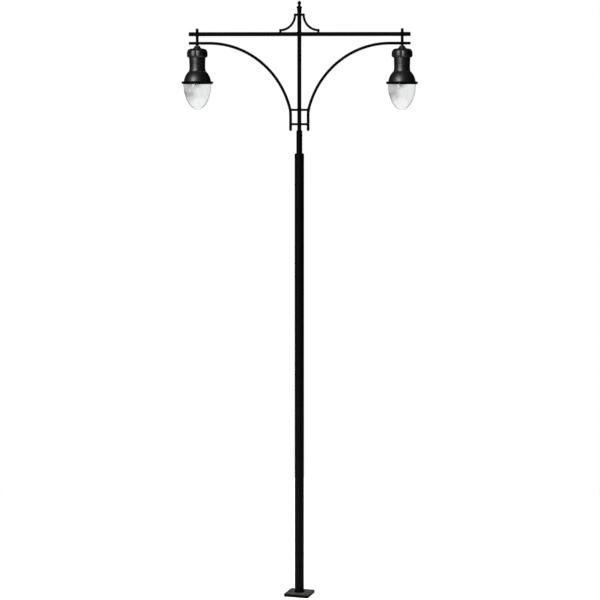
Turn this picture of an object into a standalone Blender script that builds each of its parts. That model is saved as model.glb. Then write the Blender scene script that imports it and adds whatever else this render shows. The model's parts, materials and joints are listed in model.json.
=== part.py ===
"""Street lamp post: a stepped steel column carrying two arms, with a bell lantern hung from each.

Metres, +Z up. The origin is the middle of the base plate's underside, the arms run along X,
and the service door is on the +Y side. Lines such as FINIAL_LINE are outlines of turned pieces,
as (radius, height) down the outer side; those of a lantern are measured from its own axis.
"""

import math

import bmesh
import bpy
from mathutils import Matrix, Vector

# Clearances and facets
GAP = 0.0003
OVERSHOOT = 0.010
ROUND_STEPS = 20
MIDDLE_STEPS = 16
SMALL_STEPS = 12
SHAFT_STEPS = 40

# Base plate
PLATE_SIDE = 0.375
PLATE_THICK = 0.045
PLATE_CORNER = 0.010
PLATE_TURN = math.radians(-13.15)
ANCHOR_PITCH = 0.280
ANCHOR_HOLE = 0.0135
CABLE_HOLE = 0.050

# Column tubes, from the ground up
SHAFT_RADIUS = 0.06985
SHAFT_WALL = 0.004
SHAFT_TOP = 6.6575
SHAFT_WELD = 0.008
SLEEVE_RADIUS = 0.04445
SLEEVE_WALL = 0.0032
SLEEVE_FOOT = 6.250
SLEEVE_TOP = 6.997
MAST_RADIUS = 0.03015
MAST_WALL = 0.0029
MAST_FOOT = 6.700
MAST_TOP = 8.7225
COLLAR_DEPTH = 0.022
COLLAR_CHAMFER = 0.006
TIP_HEIGHT = 8.900
PLUG_DEPTH = 0.050
BALL_HEIGHT = 8.858
BALL_RADIUS = 0.0285
SPIKE_LINE = [(0, TIP_HEIGHT), (0.0020, TIP_HEIGHT), (0.0065, 8.884)]
FINIAL_LINE = [
    (0.0170, 8.822), (0.0360, 8.806), (0.0405, 8.801), (0.0405, 8.789), (0.0330, 8.772),
]

# Service door in the shaft
DOOR_MIDDLE = 0.800
DOOR_TALL = 0.400
DOOR_WIDE = 0.088
DOOR_GAP = 0.002
DOOR_CORNER = 0.016
HINGE_STANDOFF = 0.006
HINGE_KNUCKLE = 0.005
HINGE_PIN = 0.0025
HINGE_BORE = HINGE_PIN + 0.0002
HINGE_PIN_END = 0.004
KNUCKLE_TALL = 0.030
KNUCKLE_PLAY = 0.0006
KNUCKLE_INSET = 0.075
LEAF_BOX = ((0.0032, -0.0080, 0.0004), (0.0120, 0.0020, -0.0004))
LEAF_NECK_BOX = ((0.0, -0.0040, 0.0008), (0.0060, 0.0024, -0.0008))
DOOR_CUT_NEAR = 0.020
DOOR_CUT_FAR = 0.090
LOCK_OFFSET = 0.026
LOCK_SHANK = 0.008
LOCK_SHANK_SPAN = (0.0540, 0.0720)
LOCK_BORE_SPAN = (0.055, 0.080)
LOCK_HEAD = 0.0110
LOCK_HEAD_SPAN = (0.0702, 0.0725)
LOCK_SOCKET = 0.0060
LOCK_SOCKET_SPAN = (0.0670, 0.0750)
LOCK_CAM_BOX = ((-0.0080, 0.0540, -0.0080), (0.0080, 0.0570, 0.0300))

# Equipment behind the door
BOARD_BACK = -0.010
BOARD_FRONT = -0.004
BOARD_FOOT = 0.630
BOARD_TOP = 0.970
BOARD_PLAY = 0.0006
GEAR_BACK = BOARD_FRONT + GAP
BREAKER_BOX = ((-0.027, GEAR_BACK, 0.790), (0.027, 0.034, 0.880))
BREAKER_PIVOT = Vector((0, 0.038, 0.835))
BREAKER_NOSE_BOX = ((-0.018, 0.020, 0.812), (0.018, BREAKER_PIVOT.y, 0.858))
TOGGLE_SLOT_BOX = ((-0.0055, 0.018, 0.8180), (0.0055, 0.060, 0.8520))
TOGGLE_RADIUS = 0.0090
TOGGLE_HALF = 0.005
TOGGLE_LEVER_BOX = ((-0.0045, 0.0, -0.0025), (0.0045, 0.0175, 0.0025))
TOGGLE_LEAN = math.radians(30)
TERMINAL_BOX = ((-0.032, GEAR_BACK, 0.670), (0.032, 0.018, 0.705))
TERMINAL_WELL = 0.0042
TERMINAL_PLACES = (-0.022, -0.0075, 0.0075, 0.022)
TERMINAL_SPAN = (0.006, 0.030)
TERMINAL_HEIGHT = 0.6875
EARTH_AT = Vector((0.047, 0, 0.745))
EARTH_STUD = 0.0050
EARTH_STUD_END = 0.020
EARTH_NUT = 0.0092
EARTH_NUT_SPAN = (0.003, 0.011)

# Arms and brackets
ARM_HEIGHT = 8.4062
ARM_RADIUS = 0.03015
ARM_WALL = 0.0029
ARM_REACH = 1.631
ARM_CAP_RIM = 0.003
ARM_CAP_PLUG = 0.018
STEM_REACH = 1.508
STEM_RADIUS = 0.0212
STEM_WALL = 0.0026
STEM_TOP = 8.4908
STEM_FOOT = 8.212
WIRE_HOLE = 0.009
BRACKET_RADIUS = 0.0212
BRACKET_WALL = 0.0026
BRACKET_HEIGHT = 8.2735
BRACKET_SWEEP = 1.282
BRACKET_KNEE = 0.450
BRACKET_KNEE_ANGLE = math.radians(16.0)
BRACKET_LEG = 0.1297
BRACKET_DOME_TOP = 0.030
BEND_SQUEEZE = 0.9604
BRACKET_FOOT = 6.9896
TIE_RADIUS = 0.01685
TIE_HEIGHTS = {"lower": 7.089, "upper": 7.2994}
SCROLL_RADIUS = 0.01685
SCROLL_SWEEP = 0.225
SCROLL_INNER = 0.0634
SCROLL_TOP = 8.689

# Lantern
NECK_TOP = 8.135
NECK_FOOT = 7.8682
HUB_TOP = 8.2398
HUB_FOOT = 8.1985
HUB_SHANK = 0.026
HUB_SHANK_FOOT = NECK_TOP - 0.012
HUB_WIRE_BORE = 0.012
HUB_CONE = [(0.0340, HUB_TOP), (0.0400, 8.2338), (0.0480, 8.2178), (0.0620, HUB_FOOT)]
CAP_RADIUS = 0.153
CAP_FLAT = 0.070
CAP_LOBES = 6
CAP_LOBE_STEPS = 6
CAP_GROOVE = 0.10
CAP_SCALLOP = 0.012
CAP_SCALLOP_TOP = 8.110
CAP_SCALLOP_TALL = 0.040
CAP_WALL = 0.003
CAP_LINE = [
    (CAP_FLAT, HUB_FOOT - GAP), (0.118, 8.190), (0.142, 8.171), (0.1520, 8.142),
    (CAP_RADIUS, 8.112), (0.1490, 8.092), (0.1410, 8.072),
]
NECK_WALL = 0.0035
NECK_SIDE = [
    (0.105, NECK_TOP - 0.004), (0.117, NECK_TOP - 0.016), (0.1215, 8.070),
    (0.1175, 7.960), (0.1170, 7.905), (0.1225, 7.874), (0.1225, NECK_FOOT),
]
NECK_LEDGE = [(0.1135, 7.9650), (0.1040, 7.9715), (0.1040, 7.9755), (0.1138, 7.9755)]
NECK_TOP_FLAT = 0.098
NECK_VENT = 0.012
NECK_VENT_REACH = 0.070
CANOPY_WALL = 0.003
CANOPY_LINE = [
    (0.100, NECK_FOOT - GAP), (0.1225, NECK_FOOT - GAP), (0.1350, 7.8560), (0.1580, 7.8280),
    (0.1760, 7.7980), (0.1885, 7.7680), (0.1975, 7.7380), (0.2010, 7.7200), (0.2075, 7.7123),
    (0.216, 7.7123),
]
RIM_FOOT = 7.676
RIM_TOP = 7.716
RIM_LEDGE = 0.2075
RIM_POCKET = 0.219
RIM_LINE = [
    (RIM_POCKET + 0.003, RIM_TOP), (0.2335, 7.7065), (0.2375, 7.7035), (0.2355, 7.6985),
    (0.2285, 7.6850), (0.2200, RIM_FOOT), (RIM_LEDGE, RIM_FOOT), (RIM_LEDGE, 7.696),
    (RIM_POCKET, 7.696), (RIM_POCKET, RIM_TOP),
]
PIVOT_REACH = 0.2495
PIVOT_HEIGHT = 7.724
PIVOT_EYE = 0.006
PIVOT_BORE = 0.0027
PIVOT_PIN = 0.0025
PIVOT_PIN_HALF = 0.0215
PIVOT_BORE_HALF = 0.030
LUG_PLACES = (-0.0140, 0.0140)
LUG_HALF = 0.005
LUG_BOX = ((-LUG_HALF, 0.1975, 7.7182), (LUG_HALF, PIVOT_REACH, 7.7275))
KNUCKLE_BOX = ((-0.0080, 0.2240, 7.7060), (0.0080, PIVOT_REACH + 0.003, 7.7240))
EYE_SHORTER = 0.0002
LATCH_REACH = 0.2447
LATCH_LUG_BOX = ((-0.012, -0.2555, 7.7182), (0.012, -0.1975, 7.7240))
LATCH_SLOT_BOX = ((-0.0085, -LATCH_REACH - 0.0048, 7.70), (0.0085, -LATCH_REACH + 0.0048, 7.75))
LATCH_EAR_BOX = ((-0.012, -0.2555, 7.7040), (0.012, -0.2230, 7.7130))
LATCH_BORE = 0.0044
LATCH_BORE_SPAN = (7.69, 7.73)
LATCH_STUD = 0.0040
LATCH_STUD_SPAN = (7.6950, 7.7285)
LATCH_KNOB = 0.0078
LATCH_KNOB_SPAN = (7.6860, 7.7000)
LATCH_BAR_BOX = ((-0.0070, -LATCH_REACH - 0.0020, 7.7250), (0.0070, -LATCH_REACH + 0.0020, 7.7280))
BOWL_RADIUS = 0.205
BOWL_DEPTH = 0.382
BOWL_WALL = 0.004
BOWL_RIM = 7.6849
BOWL_RINGS = 7
BOWL_FLANGE = 0.2170
BOWL_FLANGE_SPAN = (7.6963, 7.7013)
GASKET_LINE = [(0.2155, 7.7090), (0.2155, 7.7016), (0.2035, 7.7016), (0.2035, 7.7090)]

# Inside each lantern
TRAY_FLOOR = 7.9758
TRAY_THICK = 0.0025
TRAY_RADIUS = 0.1120
TRAY_BORE = 0.0100
BALLAST_FOOT = TRAY_FLOOR + TRAY_THICK + GAP
BALLAST_BOX = ((-0.078, -0.033, BALLAST_FOOT), (-0.016, 0.033, BALLAST_FOOT + 0.090))
BALLAST_FOOT_BOX = ((-0.088, -0.028, BALLAST_FOOT), (-0.012, 0.028, BALLAST_FOOT + 0.005))
HOLDER_TOP = TRAY_FLOOR - GAP
HOLDER_SEAT = TRAY_FLOOR - 0.012
HOLDER_LINE = [
    (0.0300, HOLDER_TOP), (0.0300, 7.9050), (0.0215, 7.9050), (0.0215, HOLDER_SEAT),
    (0.0060, HOLDER_SEAT), (0.0060, HOLDER_TOP),
]
LAMP_LINE = [
    (0, 7.9600), (0.0090, 7.9590), (0.0190, 7.9520), (0.0190, 7.9020), (0.0205, 7.8900),
    (0.0230, 7.8500), (0.0340, 7.7700), (0.0375, 7.7100), (0.0310, 7.6500),
    (0.0170, 7.6270), (0, 7.6190),
]
REFLECTOR_LINE = [
    (0.0420, 7.8560), (0.1120, 7.8530), (0.1420, 7.8220), (0.1660, 7.7860), (0.1860, 7.7360),
]
REFLECTOR_WALL = 0.0015

BLACK_PAINT = ((0.012, 0.012, 0.013), 0.42, 0.0)
CAST_PAINT = ((0.030, 0.030, 0.032), 0.38, 0.0)
ZINC = ((0.48, 0.49, 0.50), 0.45, 1.0)
STAINLESS = ((0.62, 0.62, 0.63), 0.30, 1.0)
BRASS = ((0.66, 0.50, 0.24), 0.35, 1.0)
BRIGHT = ((0.85, 0.86, 0.87), 0.18, 1.0)
PORCELAIN = ((0.86, 0.85, 0.82), 0.25, 0.0)
BLACK_RUBBER = ((0.020, 0.020, 0.020), 0.80, 0.0)
GREY_PLASTIC = ((0.36, 0.37, 0.38), 0.50, 0.0)
BOARD = ((0.62, 0.58, 0.50), 0.70, 0.0)
CLEAR = ((0.93, 0.95, 0.96), 0.08, 0.0)
OPAL = ((0.95, 0.95, 0.93), 0.20, 0.0)


def clear_scene():
    for obj in list(bpy.data.objects):
        bpy.data.objects.remove(obj, do_unlink=True)


def new_collection(name):
    collection = bpy.data.collections.new(name)
    bpy.context.scene.collection.children.link(collection)
    return collection


clear_scene()
PARTS = new_collection("street_lamp_post")
CUTTERS = new_collection("cutters")


# Making and joining shapes

def painted(obj, finish):
    colour, roughness, metallic = finish
    material = bpy.data.materials.new(obj.name)
    material.use_nodes = True
    shader = material.node_tree.nodes["Principled BSDF"]
    shader.inputs["Base Color"].default_value = (*colour, 1.0)
    shader.inputs["Roughness"].default_value = roughness
    shader.inputs["Metallic"].default_value = metallic
    shader.inputs["Transmission Weight"].default_value = 0.9 if finish is CLEAR else 0.0
    material.diffuse_color = (*colour, 1.0)
    obj.data.materials.clear()
    obj.data.materials.append(material)
    return obj


def place(obj, collection=PARTS):
    for old in list(obj.users_collection):
        old.objects.unlink(obj)
    collection.objects.link(obj)
    if collection is CUTTERS:
        obj.hide_render = True
        obj.display_type = "WIRE"
    return obj


def turned(name, outline, finish=None, centre=(0, 0, 0), closed=True, steps=ROUND_STEPS):
    """A solid of revolution about Z. The outline, (radius, height), runs down its outer side."""
    mesh = bpy.data.meshes.new(name)
    edges = [(i, i + 1) for i in range(len(outline) - 1)]
    if closed:
        edges.append((len(outline) - 1, 0))
    mesh.from_pydata([(radius, 0, height) for radius, height in outline], edges, [])
    obj = place(bpy.data.objects.new(name, mesh), PARTS if finish else CUTTERS)
    obj.location = centre
    screw = obj.modifiers.new("turn", "SCREW")
    screw.steps = screw.render_steps = steps
    screw.use_merge_vertices = True
    screw.merge_threshold = 0.000001
    screw.use_smooth_shade = True
    return painted(obj, finish) if finish else obj


def tube(name, radius, wall, foot, top, finish, steps=ROUND_STEPS):
    outline = [(radius, top), (radius, foot), (radius - wall, foot), (radius - wall, top)]
    return turned(name, outline, finish, steps=steps)


def rod(name, radius, start, end, finish=None, steps=SMALL_STEPS):
    """A plain cylinder between two points."""
    start = Vector(start)
    along = Vector(end) - start
    bpy.ops.mesh.primitive_cylinder_add(vertices=steps, radius=radius, depth=along.length)
    obj = bpy.context.object
    obj.name = obj.data.name = name
    obj.location = start + along / 2
    obj.rotation_euler = along.to_track_quat("Z", "Y").to_euler()
    place(obj, PARTS if finish else CUTTERS)
    obj.data.shade_smooth()
    obj.data.set_sharp_from_angle(angle=math.radians(40))
    return painted(obj, finish) if finish else obj


def block(name, low, high, finish=None, round_edges=0.0, along=None):
    """A box from corner to corner, with the edges parallel to one axis rounded if asked."""
    low, high = Vector(low), Vector(high)
    bm = bmesh.new()
    size = high - low
    bmesh.ops.create_cube(bm, size=1.0, matrix=Matrix.Diagonal((*size, 1.0)))
    if round_edges:
        across = [i for i in range(3) if i != "XYZ".index(along)]
        edges = [
            edge for edge in bm.edges
            if all(abs(edge.verts[0].co[i] - edge.verts[1].co[i]) < 1e-6 for i in across)
        ]
        bmesh.ops.bevel(
            bm, geom=edges, offset=round_edges, segments=4, profile=0.5, affect="EDGES"
        )
    mesh = bpy.data.meshes.new(name)
    bm.to_mesh(mesh)
    bm.free()
    obj = place(bpy.data.objects.new(name, mesh), PARTS if finish else CUTTERS)
    obj.location = (low + high) / 2
    return painted(obj, finish) if finish else obj


def bar(name, path, radius, finish, sides=2):
    """A round bar along a list of points, as a closed mesh."""
    curve = bpy.data.curves.new(name, "CURVE")
    curve.dimensions = "3D"
    curve.bevel_depth = radius
    curve.bevel_resolution = sides
    curve.use_fill_caps = True
    spline = curve.splines.new("POLY")
    spline.points.add(len(path) - 1)
    for point, place_at in zip(spline.points, path):
        point.co = (*place_at, 1.0)
    guide = place(bpy.data.objects.new(name + "_guide", curve))
    bpy.context.view_layer.update()
    mesh = bpy.data.meshes.new_from_object(guide.evaluated_get(bpy.context.evaluated_depsgraph_get()))
    bpy.data.objects.remove(guide, do_unlink=True)
    bm = bmesh.new()
    bm.from_mesh(mesh)
    bmesh.ops.remove_doubles(bm, verts=bm.verts, dist=0.000001)
    bm.to_mesh(mesh)
    bm.free()
    mesh.name = name
    mesh.materials.clear()
    mesh.shade_smooth()
    mesh.set_sharp_from_angle(angle=math.radians(50))
    obj = place(bpy.data.objects.new(name, mesh), PARTS if finish else CUTTERS)
    return painted(obj, finish) if finish else obj


def combine(obj, other, operation):
    place(other, CUTTERS)
    boolean = obj.modifiers.new(other.name, "BOOLEAN")
    boolean.operation = operation
    boolean.object = other
    boolean.solver = "EXACT"
    return obj


def cut(obj, *others):
    for other in others:
        combine(obj, other, "DIFFERENCE")
    return obj


def join(obj, *others):
    for other in others:
        combine(obj, other, "UNION")
    return obj


def arc(middle, radius, first, last, count):
    """Points of a circle in a plane, from one angle in degrees to another."""
    angles = [math.radians(first + (last - first) * i / count) for i in range(count + 1)]
    return [(middle[0] + radius * math.cos(a), middle[1] + radius * math.sin(a)) for a in angles]


# Column

def base_plate():
    """The plate is turned on the column, away from the line of the arms."""
    half = PLATE_SIDE / 2
    plate = block(
        "base_plate", (-half, -half, 0), (half, half, PLATE_THICK), BLACK_PAINT, PLATE_CORNER, "Z"
    )
    plate.rotation_euler.z = PLATE_TURN
    below = Vector((0, 0, -OVERSHOOT))
    above = Vector((0, 0, PLATE_THICK + OVERSHOOT))
    cut(plate, rod("cable_hole", CABLE_HOLE, below, above))
    for x in (-1, 1):
        for y in (-1, 1):
            centre = Matrix.Rotation(PLATE_TURN, 3, "Z") @ Vector((x, y, 0)) * ANCHOR_PITCH / 2
            cut(plate, rod(
                f"anchor_hole_{x}_{y}", ANCHOR_HOLE, centre + below, centre + above,
            ))


def surface_depth(x, radius):
    """How far +Y a cylinder's surface is at a given x."""
    return math.sqrt(radius ** 2 - x ** 2)


def door_frame():
    """The hinge line and the two directions there: across the door, and straight out."""
    edge = Vector((-DOOR_WIDE / 2, surface_depth(DOOR_WIDE / 2, SHAFT_RADIUS), 0))
    out = edge.normalized()
    across = Vector((out.y, -out.x, 0))
    return edge + out * HINGE_STANDOFF, across, out


def knuckle(name, low, high, side):
    """A hinge knuckle with its leaf. side is 1 for the door's half and -1 for the shaft's."""
    pin, across, out = door_frame()
    barrel = rod(name, HINGE_KNUCKLE, pin + Vector((0, 0, low)), pin + Vector((0, 0, high)))
    ends = Vector((0, 0, low)), Vector((0, 0, high))
    leaf, neck = (
        block(f"{name}_{part}", *(Vector(corner) + end for corner, end in zip(box, ends)))
        for part, box in (("leaf", LEAF_BOX), ("neck", LEAF_NECK_BOX))
    )
    for piece in (leaf, neck):
        # The pieces are laid out with x across the door and y straight out, then turned.
        flip = Matrix.Diagonal((side, 1, 1)).to_4x4()
        turn = Matrix((
            (across.x, out.x, 0, pin.x), (across.y, out.y, 0, pin.y), (0, 0, 1, 0), (0, 0, 0, 1),
        ))
        piece.data.transform(turn @ flip @ Matrix.Translation(piece.location))
        piece.location = (0, 0, 0)
        if side < 0:
            piece.data.flip_normals()
    return join(barrel, leaf, neck)


def knuckle_heights():
    """Three knuckles in a row near each end of the door: shaft, door, shaft."""
    stacks = []
    for sign in (-1, 1):
        middle = DOOR_MIDDLE + sign * (DOOR_TALL / 2 - KNUCKLE_INSET)
        stacks.append([
            (middle + step * KNUCKLE_TALL - KNUCKLE_TALL / 2 + KNUCKLE_PLAY / 2,
             middle + step * KNUCKLE_TALL + KNUCKLE_TALL / 2 - KNUCKLE_PLAY / 2)
            for step in (-1, 0, 1)
        ])
    return stacks


def pin_bore(name):
    pin, _, _ = door_frame()
    foot, head = DOOR_MIDDLE - DOOR_TALL, DOOR_MIDDLE + DOOR_TALL
    return rod(name, HINGE_BORE, pin + Vector((0, 0, foot)), pin + Vector((0, 0, head)))


def door_block(name, inset):
    """A block through the shaft's wall with the door opening's outline, drawn in all round."""
    half, tall = DOOR_WIDE / 2 - inset, DOOR_TALL / 2 - inset
    return block(
        name, (-half, DOOR_CUT_NEAR, DOOR_MIDDLE - tall), (half, DOOR_CUT_FAR, DOOR_MIDDLE + tall),
        round_edges=DOOR_CORNER - inset, along="Y",
    )


def lower_shaft():
    inner = SHAFT_RADIUS - SHAFT_WALL
    foot = PLATE_THICK + GAP
    top = SHAFT_TOP - COLLAR_DEPTH - GAP
    outline = [
        (SHAFT_RADIUS, top), (SHAFT_RADIUS, foot + SHAFT_WELD),
        (SHAFT_RADIUS + SHAFT_WELD, foot), (inner, foot), (inner, top),
    ]
    shaft = turned("lower_shaft", outline, BLACK_PAINT, steps=SHAFT_STEPS)
    cut(shaft, door_block("door_opening", 0.0))
    for name, stack in zip(("low", "high"), knuckle_heights()):
        for part, (low, high) in zip(("a", "b"), (stack[0], stack[2])):
            join(shaft, knuckle(f"shaft_knuckle_{name}_{part}", low, high, -1))
    cut(shaft, pin_bore("shaft_pin_bore"))


def access_door():
    door = tube(
        "access_door", SHAFT_RADIUS, SHAFT_WALL,
        DOOR_MIDDLE - DOOR_TALL, DOOR_MIDDLE + DOOR_TALL, BLACK_PAINT, steps=SHAFT_STEPS,
    )
    combine(door, door_block("door_outline", DOOR_GAP), "INTERSECT")
    for name, stack in zip(("low", "high"), knuckle_heights()):
        join(door, knuckle(f"door_knuckle_{name}", *stack[1], 1))
    cut(door, pin_bore("door_pin_bore"))
    cut(door, along_lock("lock_bore", LOCK_SHANK + 0.0005, LOCK_BORE_SPAN))


def door_hinge_pin():
    pin, _, _ = door_frame()
    stacks = knuckle_heights()
    low, high = stacks[0][0][0] - HINGE_PIN_END, stacks[1][2][1] + HINGE_PIN_END
    rod(
        "door_hinge_pin", HINGE_PIN,
        pin + Vector((0, 0, low)), pin + Vector((0, 0, high)), STAINLESS,
    )


def lock_axis():
    """The lock points straight out of the round shaft, part of the way across the door."""
    return Vector((LOCK_OFFSET, surface_depth(LOCK_OFFSET, SHAFT_RADIUS), 0)).normalized()


def along_lock(name, radius, span, finish=None, steps=SMALL_STEPS):
    """A cylinder on the lock's axis, between two distances from the shaft's axis."""
    at = Vector((0, 0, DOOR_MIDDLE))
    start, end = (at + lock_axis() * reach for reach in span)
    return rod(name, radius, start, end, finish, steps)


def door_lock():
    """A quarter-turn lock: a shank through the door, a flanged head and a cam behind."""
    lock = along_lock("door_lock", LOCK_SHANK, LOCK_SHANK_SPAN, STAINLESS)
    head = along_lock("lock_head", LOCK_HEAD, LOCK_HEAD_SPAN)
    cam = block("lock_cam", *LOCK_CAM_BOX)
    out = lock_axis()
    turn = Matrix.Rotation(-math.atan2(out.x, out.y), 4, "Z")
    at = Matrix.Translation((0, 0, DOOR_MIDDLE))
    cam.data.transform(at @ turn @ Matrix.Translation(cam.location))
    cam.location = (0, 0, 0)
    join(lock, head, cam)
    cut(lock, along_lock("lock_socket", LOCK_SOCKET, LOCK_SOCKET_SPAN, steps=3))


def stepped_collar(name, outer, inner, top):
    """The ring that closes one tube round the smaller one that rises from it."""
    foot = top - COLLAR_DEPTH
    outline = [
        (outer - COLLAR_CHAMFER, top), (outer, top - COLLAR_CHAMFER), (outer, foot),
        (inner, foot), (inner, top),
    ]
    turned(name, outline, BLACK_PAINT)


def column_tubes():
    stepped_collar("shaft_collar", SHAFT_RADIUS, SLEEVE_RADIUS + GAP, SHAFT_TOP)
    tube(
        "bracket_sleeve", SLEEVE_RADIUS, SLEEVE_WALL,
        SLEEVE_FOOT, SLEEVE_TOP - COLLAR_DEPTH - GAP, BLACK_PAINT,
    )
    stepped_collar("sleeve_collar", SLEEVE_RADIUS, MAST_RADIUS + GAP, SLEEVE_TOP)
    mast = tube("mast", MAST_RADIUS, MAST_WALL, MAST_FOOT, MAST_TOP, BLACK_PAINT)
    beyond = MAST_RADIUS + OVERSHOOT
    cut(mast, rod("mast_wire_hole", WIRE_HOLE, (-beyond, 0, ARM_HEIGHT), (beyond, 0, ARM_HEIGHT)))


def finial():
    """A flared cap with a collar band, a ball and a short spike, plugged into the mast."""
    plug = MAST_RADIUS - MAST_WALL - GAP
    seat = MAST_TOP + GAP
    foot = MAST_TOP - PLUG_DEPTH
    outline = [
        *SPIKE_LINE, *arc((0, BALL_HEIGHT), BALL_RADIUS, 52, -45, 3), *FINIAL_LINE,
        (MAST_RADIUS, seat), (plug, seat), (plug, foot), (0, foot),
    ]
    turned("finial", outline, BLACK_PAINT, closed=False)


def service_gear():
    """What the shaft's door gives access to: the board with its breaker, terminals and earth."""
    half = surface_depth(-BOARD_BACK, SHAFT_RADIUS - SHAFT_WALL) - BOARD_PLAY
    block(
        "equipment_board", (-half, BOARD_BACK, BOARD_FOOT), (half, BOARD_FRONT, BOARD_TOP), BOARD,
    )
    box = block("breaker_box", *BREAKER_BOX, GREY_PLASTIC)
    join(box, block("breaker_nose", *BREAKER_NOSE_BOX))
    cut(box, block("toggle_slot", *TOGGLE_SLOT_BOX))
    aside = Vector((TOGGLE_HALF, 0, 0))
    toggle = rod(
        "breaker_toggle", TOGGLE_RADIUS, BREAKER_PIVOT - aside, BREAKER_PIVOT + aside, BLACK_RUBBER,
    )
    lever = block("toggle_lever", *TOGGLE_LEVER_BOX)
    lean = Matrix.Translation(BREAKER_PIVOT) @ Matrix.Rotation(TOGGLE_LEAN, 4, "X")
    lever.data.transform(lean @ Matrix.Translation(lever.location))
    lever.location = (0, 0, 0)
    join(toggle, lever)
    terminals = block("terminal_block", *TERMINAL_BOX, BOARD)
    for i, x in enumerate(TERMINAL_PLACES):
        start, end = ((x, y, TERMINAL_HEIGHT) for y in TERMINAL_SPAN)
        cut(terminals, rod(f"terminal_{i}", TERMINAL_WELL, start, end))
    stud = rod(
        "earth_stud", EARTH_STUD, EARTH_AT + Vector((0, GEAR_BACK, 0)),
        EARTH_AT + Vector((0, EARTH_STUD_END, 0)), BRASS,
    )
    start, end = (EARTH_AT + Vector((0, y, 0)) for y in EARTH_NUT_SPAN)
    join(stud, rod("earth_nut", EARTH_NUT, start, end, steps=6))


# Arms, brackets and scrolls, on one side of the mast

def side_name(side, name):
    return f"{'right' if side > 0 else 'left'}_{name}"


def stem_bore(name, side):
    x = side * STEM_REACH
    return rod(
        side_name(side, name), STEM_RADIUS + GAP, (x, 0, STEM_FOOT - OVERSHOOT),
        (x, 0, STEM_TOP + OVERSHOOT), steps=ROUND_STEPS,
    )


def mast_bore(name, side):
    return rod(
        side_name(side, name), MAST_RADIUS + GAP, (0, 0, MAST_FOOT), (0, 0, MAST_TOP),
        steps=ROUND_STEPS,
    )


def cross_arm(side):
    """The arm's tube is saddle-cut to the mast and drilled for the lantern's stem."""
    name = side_name(side, "cross_arm")
    end, start, bore = ARM_REACH - ARM_CAP_RIM, 0.001, ARM_RADIUS - ARM_WALL
    outline = [(ARM_RADIUS, end), (ARM_RADIUS, start), (bore, start), (bore, end)]
    arm = turned(name, outline, BLACK_PAINT, (0, 0, ARM_HEIGHT))
    arm.rotation_euler.y = side * math.pi / 2
    cut(arm, mast_bore("arm_saddle", side), stem_bore("arm_drilling", side))


def arm_cap(side):
    """A pressed cap on the arm's end: a disc with a rounded edge and a plug."""
    plug = ARM_RADIUS - ARM_WALL - GAP
    seat = ARM_REACH - ARM_CAP_RIM + GAP
    foot = ARM_REACH - ARM_CAP_PLUG
    outline = [
        (0, ARM_REACH), (ARM_RADIUS - ARM_CAP_RIM, ARM_REACH), (ARM_RADIUS, seat + GAP),
        (ARM_RADIUS, seat), (plug, seat), (plug, foot), (0, foot),
    ]
    cap = turned(
        side_name(side, "arm_cap"), outline, BLACK_PAINT, (0, 0, ARM_HEIGHT), closed=False
    )
    cap.rotation_euler.y = side * math.pi / 2


def bracket_path(side):
    """Up the leg, round the knee, round the long sweep, then level out to the stem."""
    knee_end = math.degrees(BRACKET_KNEE_ANGLE)
    lean_in = 1 - math.cos(BRACKET_KNEE_ANGLE)
    sweep_x = BRACKET_KNEE * lean_in + BRACKET_SWEEP * math.cos(BRACKET_KNEE_ANGLE)
    sweep_z = BRACKET_HEIGHT - BRACKET_SWEEP
    knee_z = sweep_z + (BRACKET_SWEEP - BRACKET_KNEE) * math.sin(BRACKET_KNEE_ANGLE)
    bends = [
        *arc((BRACKET_KNEE, knee_z), BRACKET_KNEE, 180, 180 - knee_end, 4)[:-1],
        *arc((sweep_x, sweep_z), BRACKET_SWEEP, 180 - knee_end, 90, 18),
    ]
    path = [
        (BRACKET_LEG, BRACKET_FOOT + BRACKET_RADIUS / 2),
        *((BRACKET_LEG + x * BEND_SQUEEZE, z) for x, z in bends),
        (STEM_REACH, BRACKET_HEIGHT),
    ]
    return [(side * x, 0, z) for x, z in path]


def curved_bracket(side):
    name = side_name(side, "curved_bracket")
    bracket = bar(name, bracket_path(side), BRACKET_RADIUS, BLACK_PAINT, sides=2)
    foot = (side * BRACKET_LEG, 0, BRACKET_FOOT)
    crown, wide = BRACKET_RADIUS / 2, BRACKET_RADIUS * 0.98
    dome = turned(
        name + "_foot",
        [(0, BRACKET_DOME_TOP), (wide, BRACKET_DOME_TOP), (wide, crown),
         (BRACKET_RADIUS * 0.75, crown * 0.35), (BRACKET_RADIUS * 0.4, 0), (0, 0)],
        centre=foot, closed=False, steps=MIDDLE_STEPS,
    )
    hollow = bar(name + "_hollow", bracket_path(side), BRACKET_RADIUS - BRACKET_WALL, None, sides=1)
    join(bracket, dome)
    cut(bracket, hollow, stem_bore("bracket_saddle", side))


def bracket_stub(side):
    """The short length of bracket tube beyond the stem, closed at its end."""
    name = side_name(side, "bracket_stub")
    outline = [
        (0, ARM_REACH), (BRACKET_RADIUS - ARM_CAP_RIM, ARM_REACH),
        (BRACKET_RADIUS, ARM_REACH - ARM_CAP_RIM), (BRACKET_RADIUS, STEM_REACH), (0, STEM_REACH),
    ]
    stub = turned(name, outline, BLACK_PAINT, (0, 0, BRACKET_HEIGHT), closed=False)
    stub.rotation_euler.y = side * math.pi / 2
    cut(stub, stem_bore("stub_saddle", side))


def bracket_tie(side, level):
    """A short bar between the mast and the bracket, saddle-cut to both."""
    height = TIE_HEIGHTS[level]
    tie = rod(
        side_name(side, level + "_tie"), TIE_RADIUS,
        (side * MAST_RADIUS / 2, 0, height), (side * BRACKET_LEG, 0, height), BLACK_PAINT,
        steps=MIDDLE_STEPS,
    )
    beside = bar(
        side_name(side, level + "_tie_end"), bracket_path(side)[:9],
        BRACKET_RADIUS + GAP, None, sides=2,
    )
    cut(tie, mast_bore(level + "_tie_saddle", side), beside)


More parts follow.
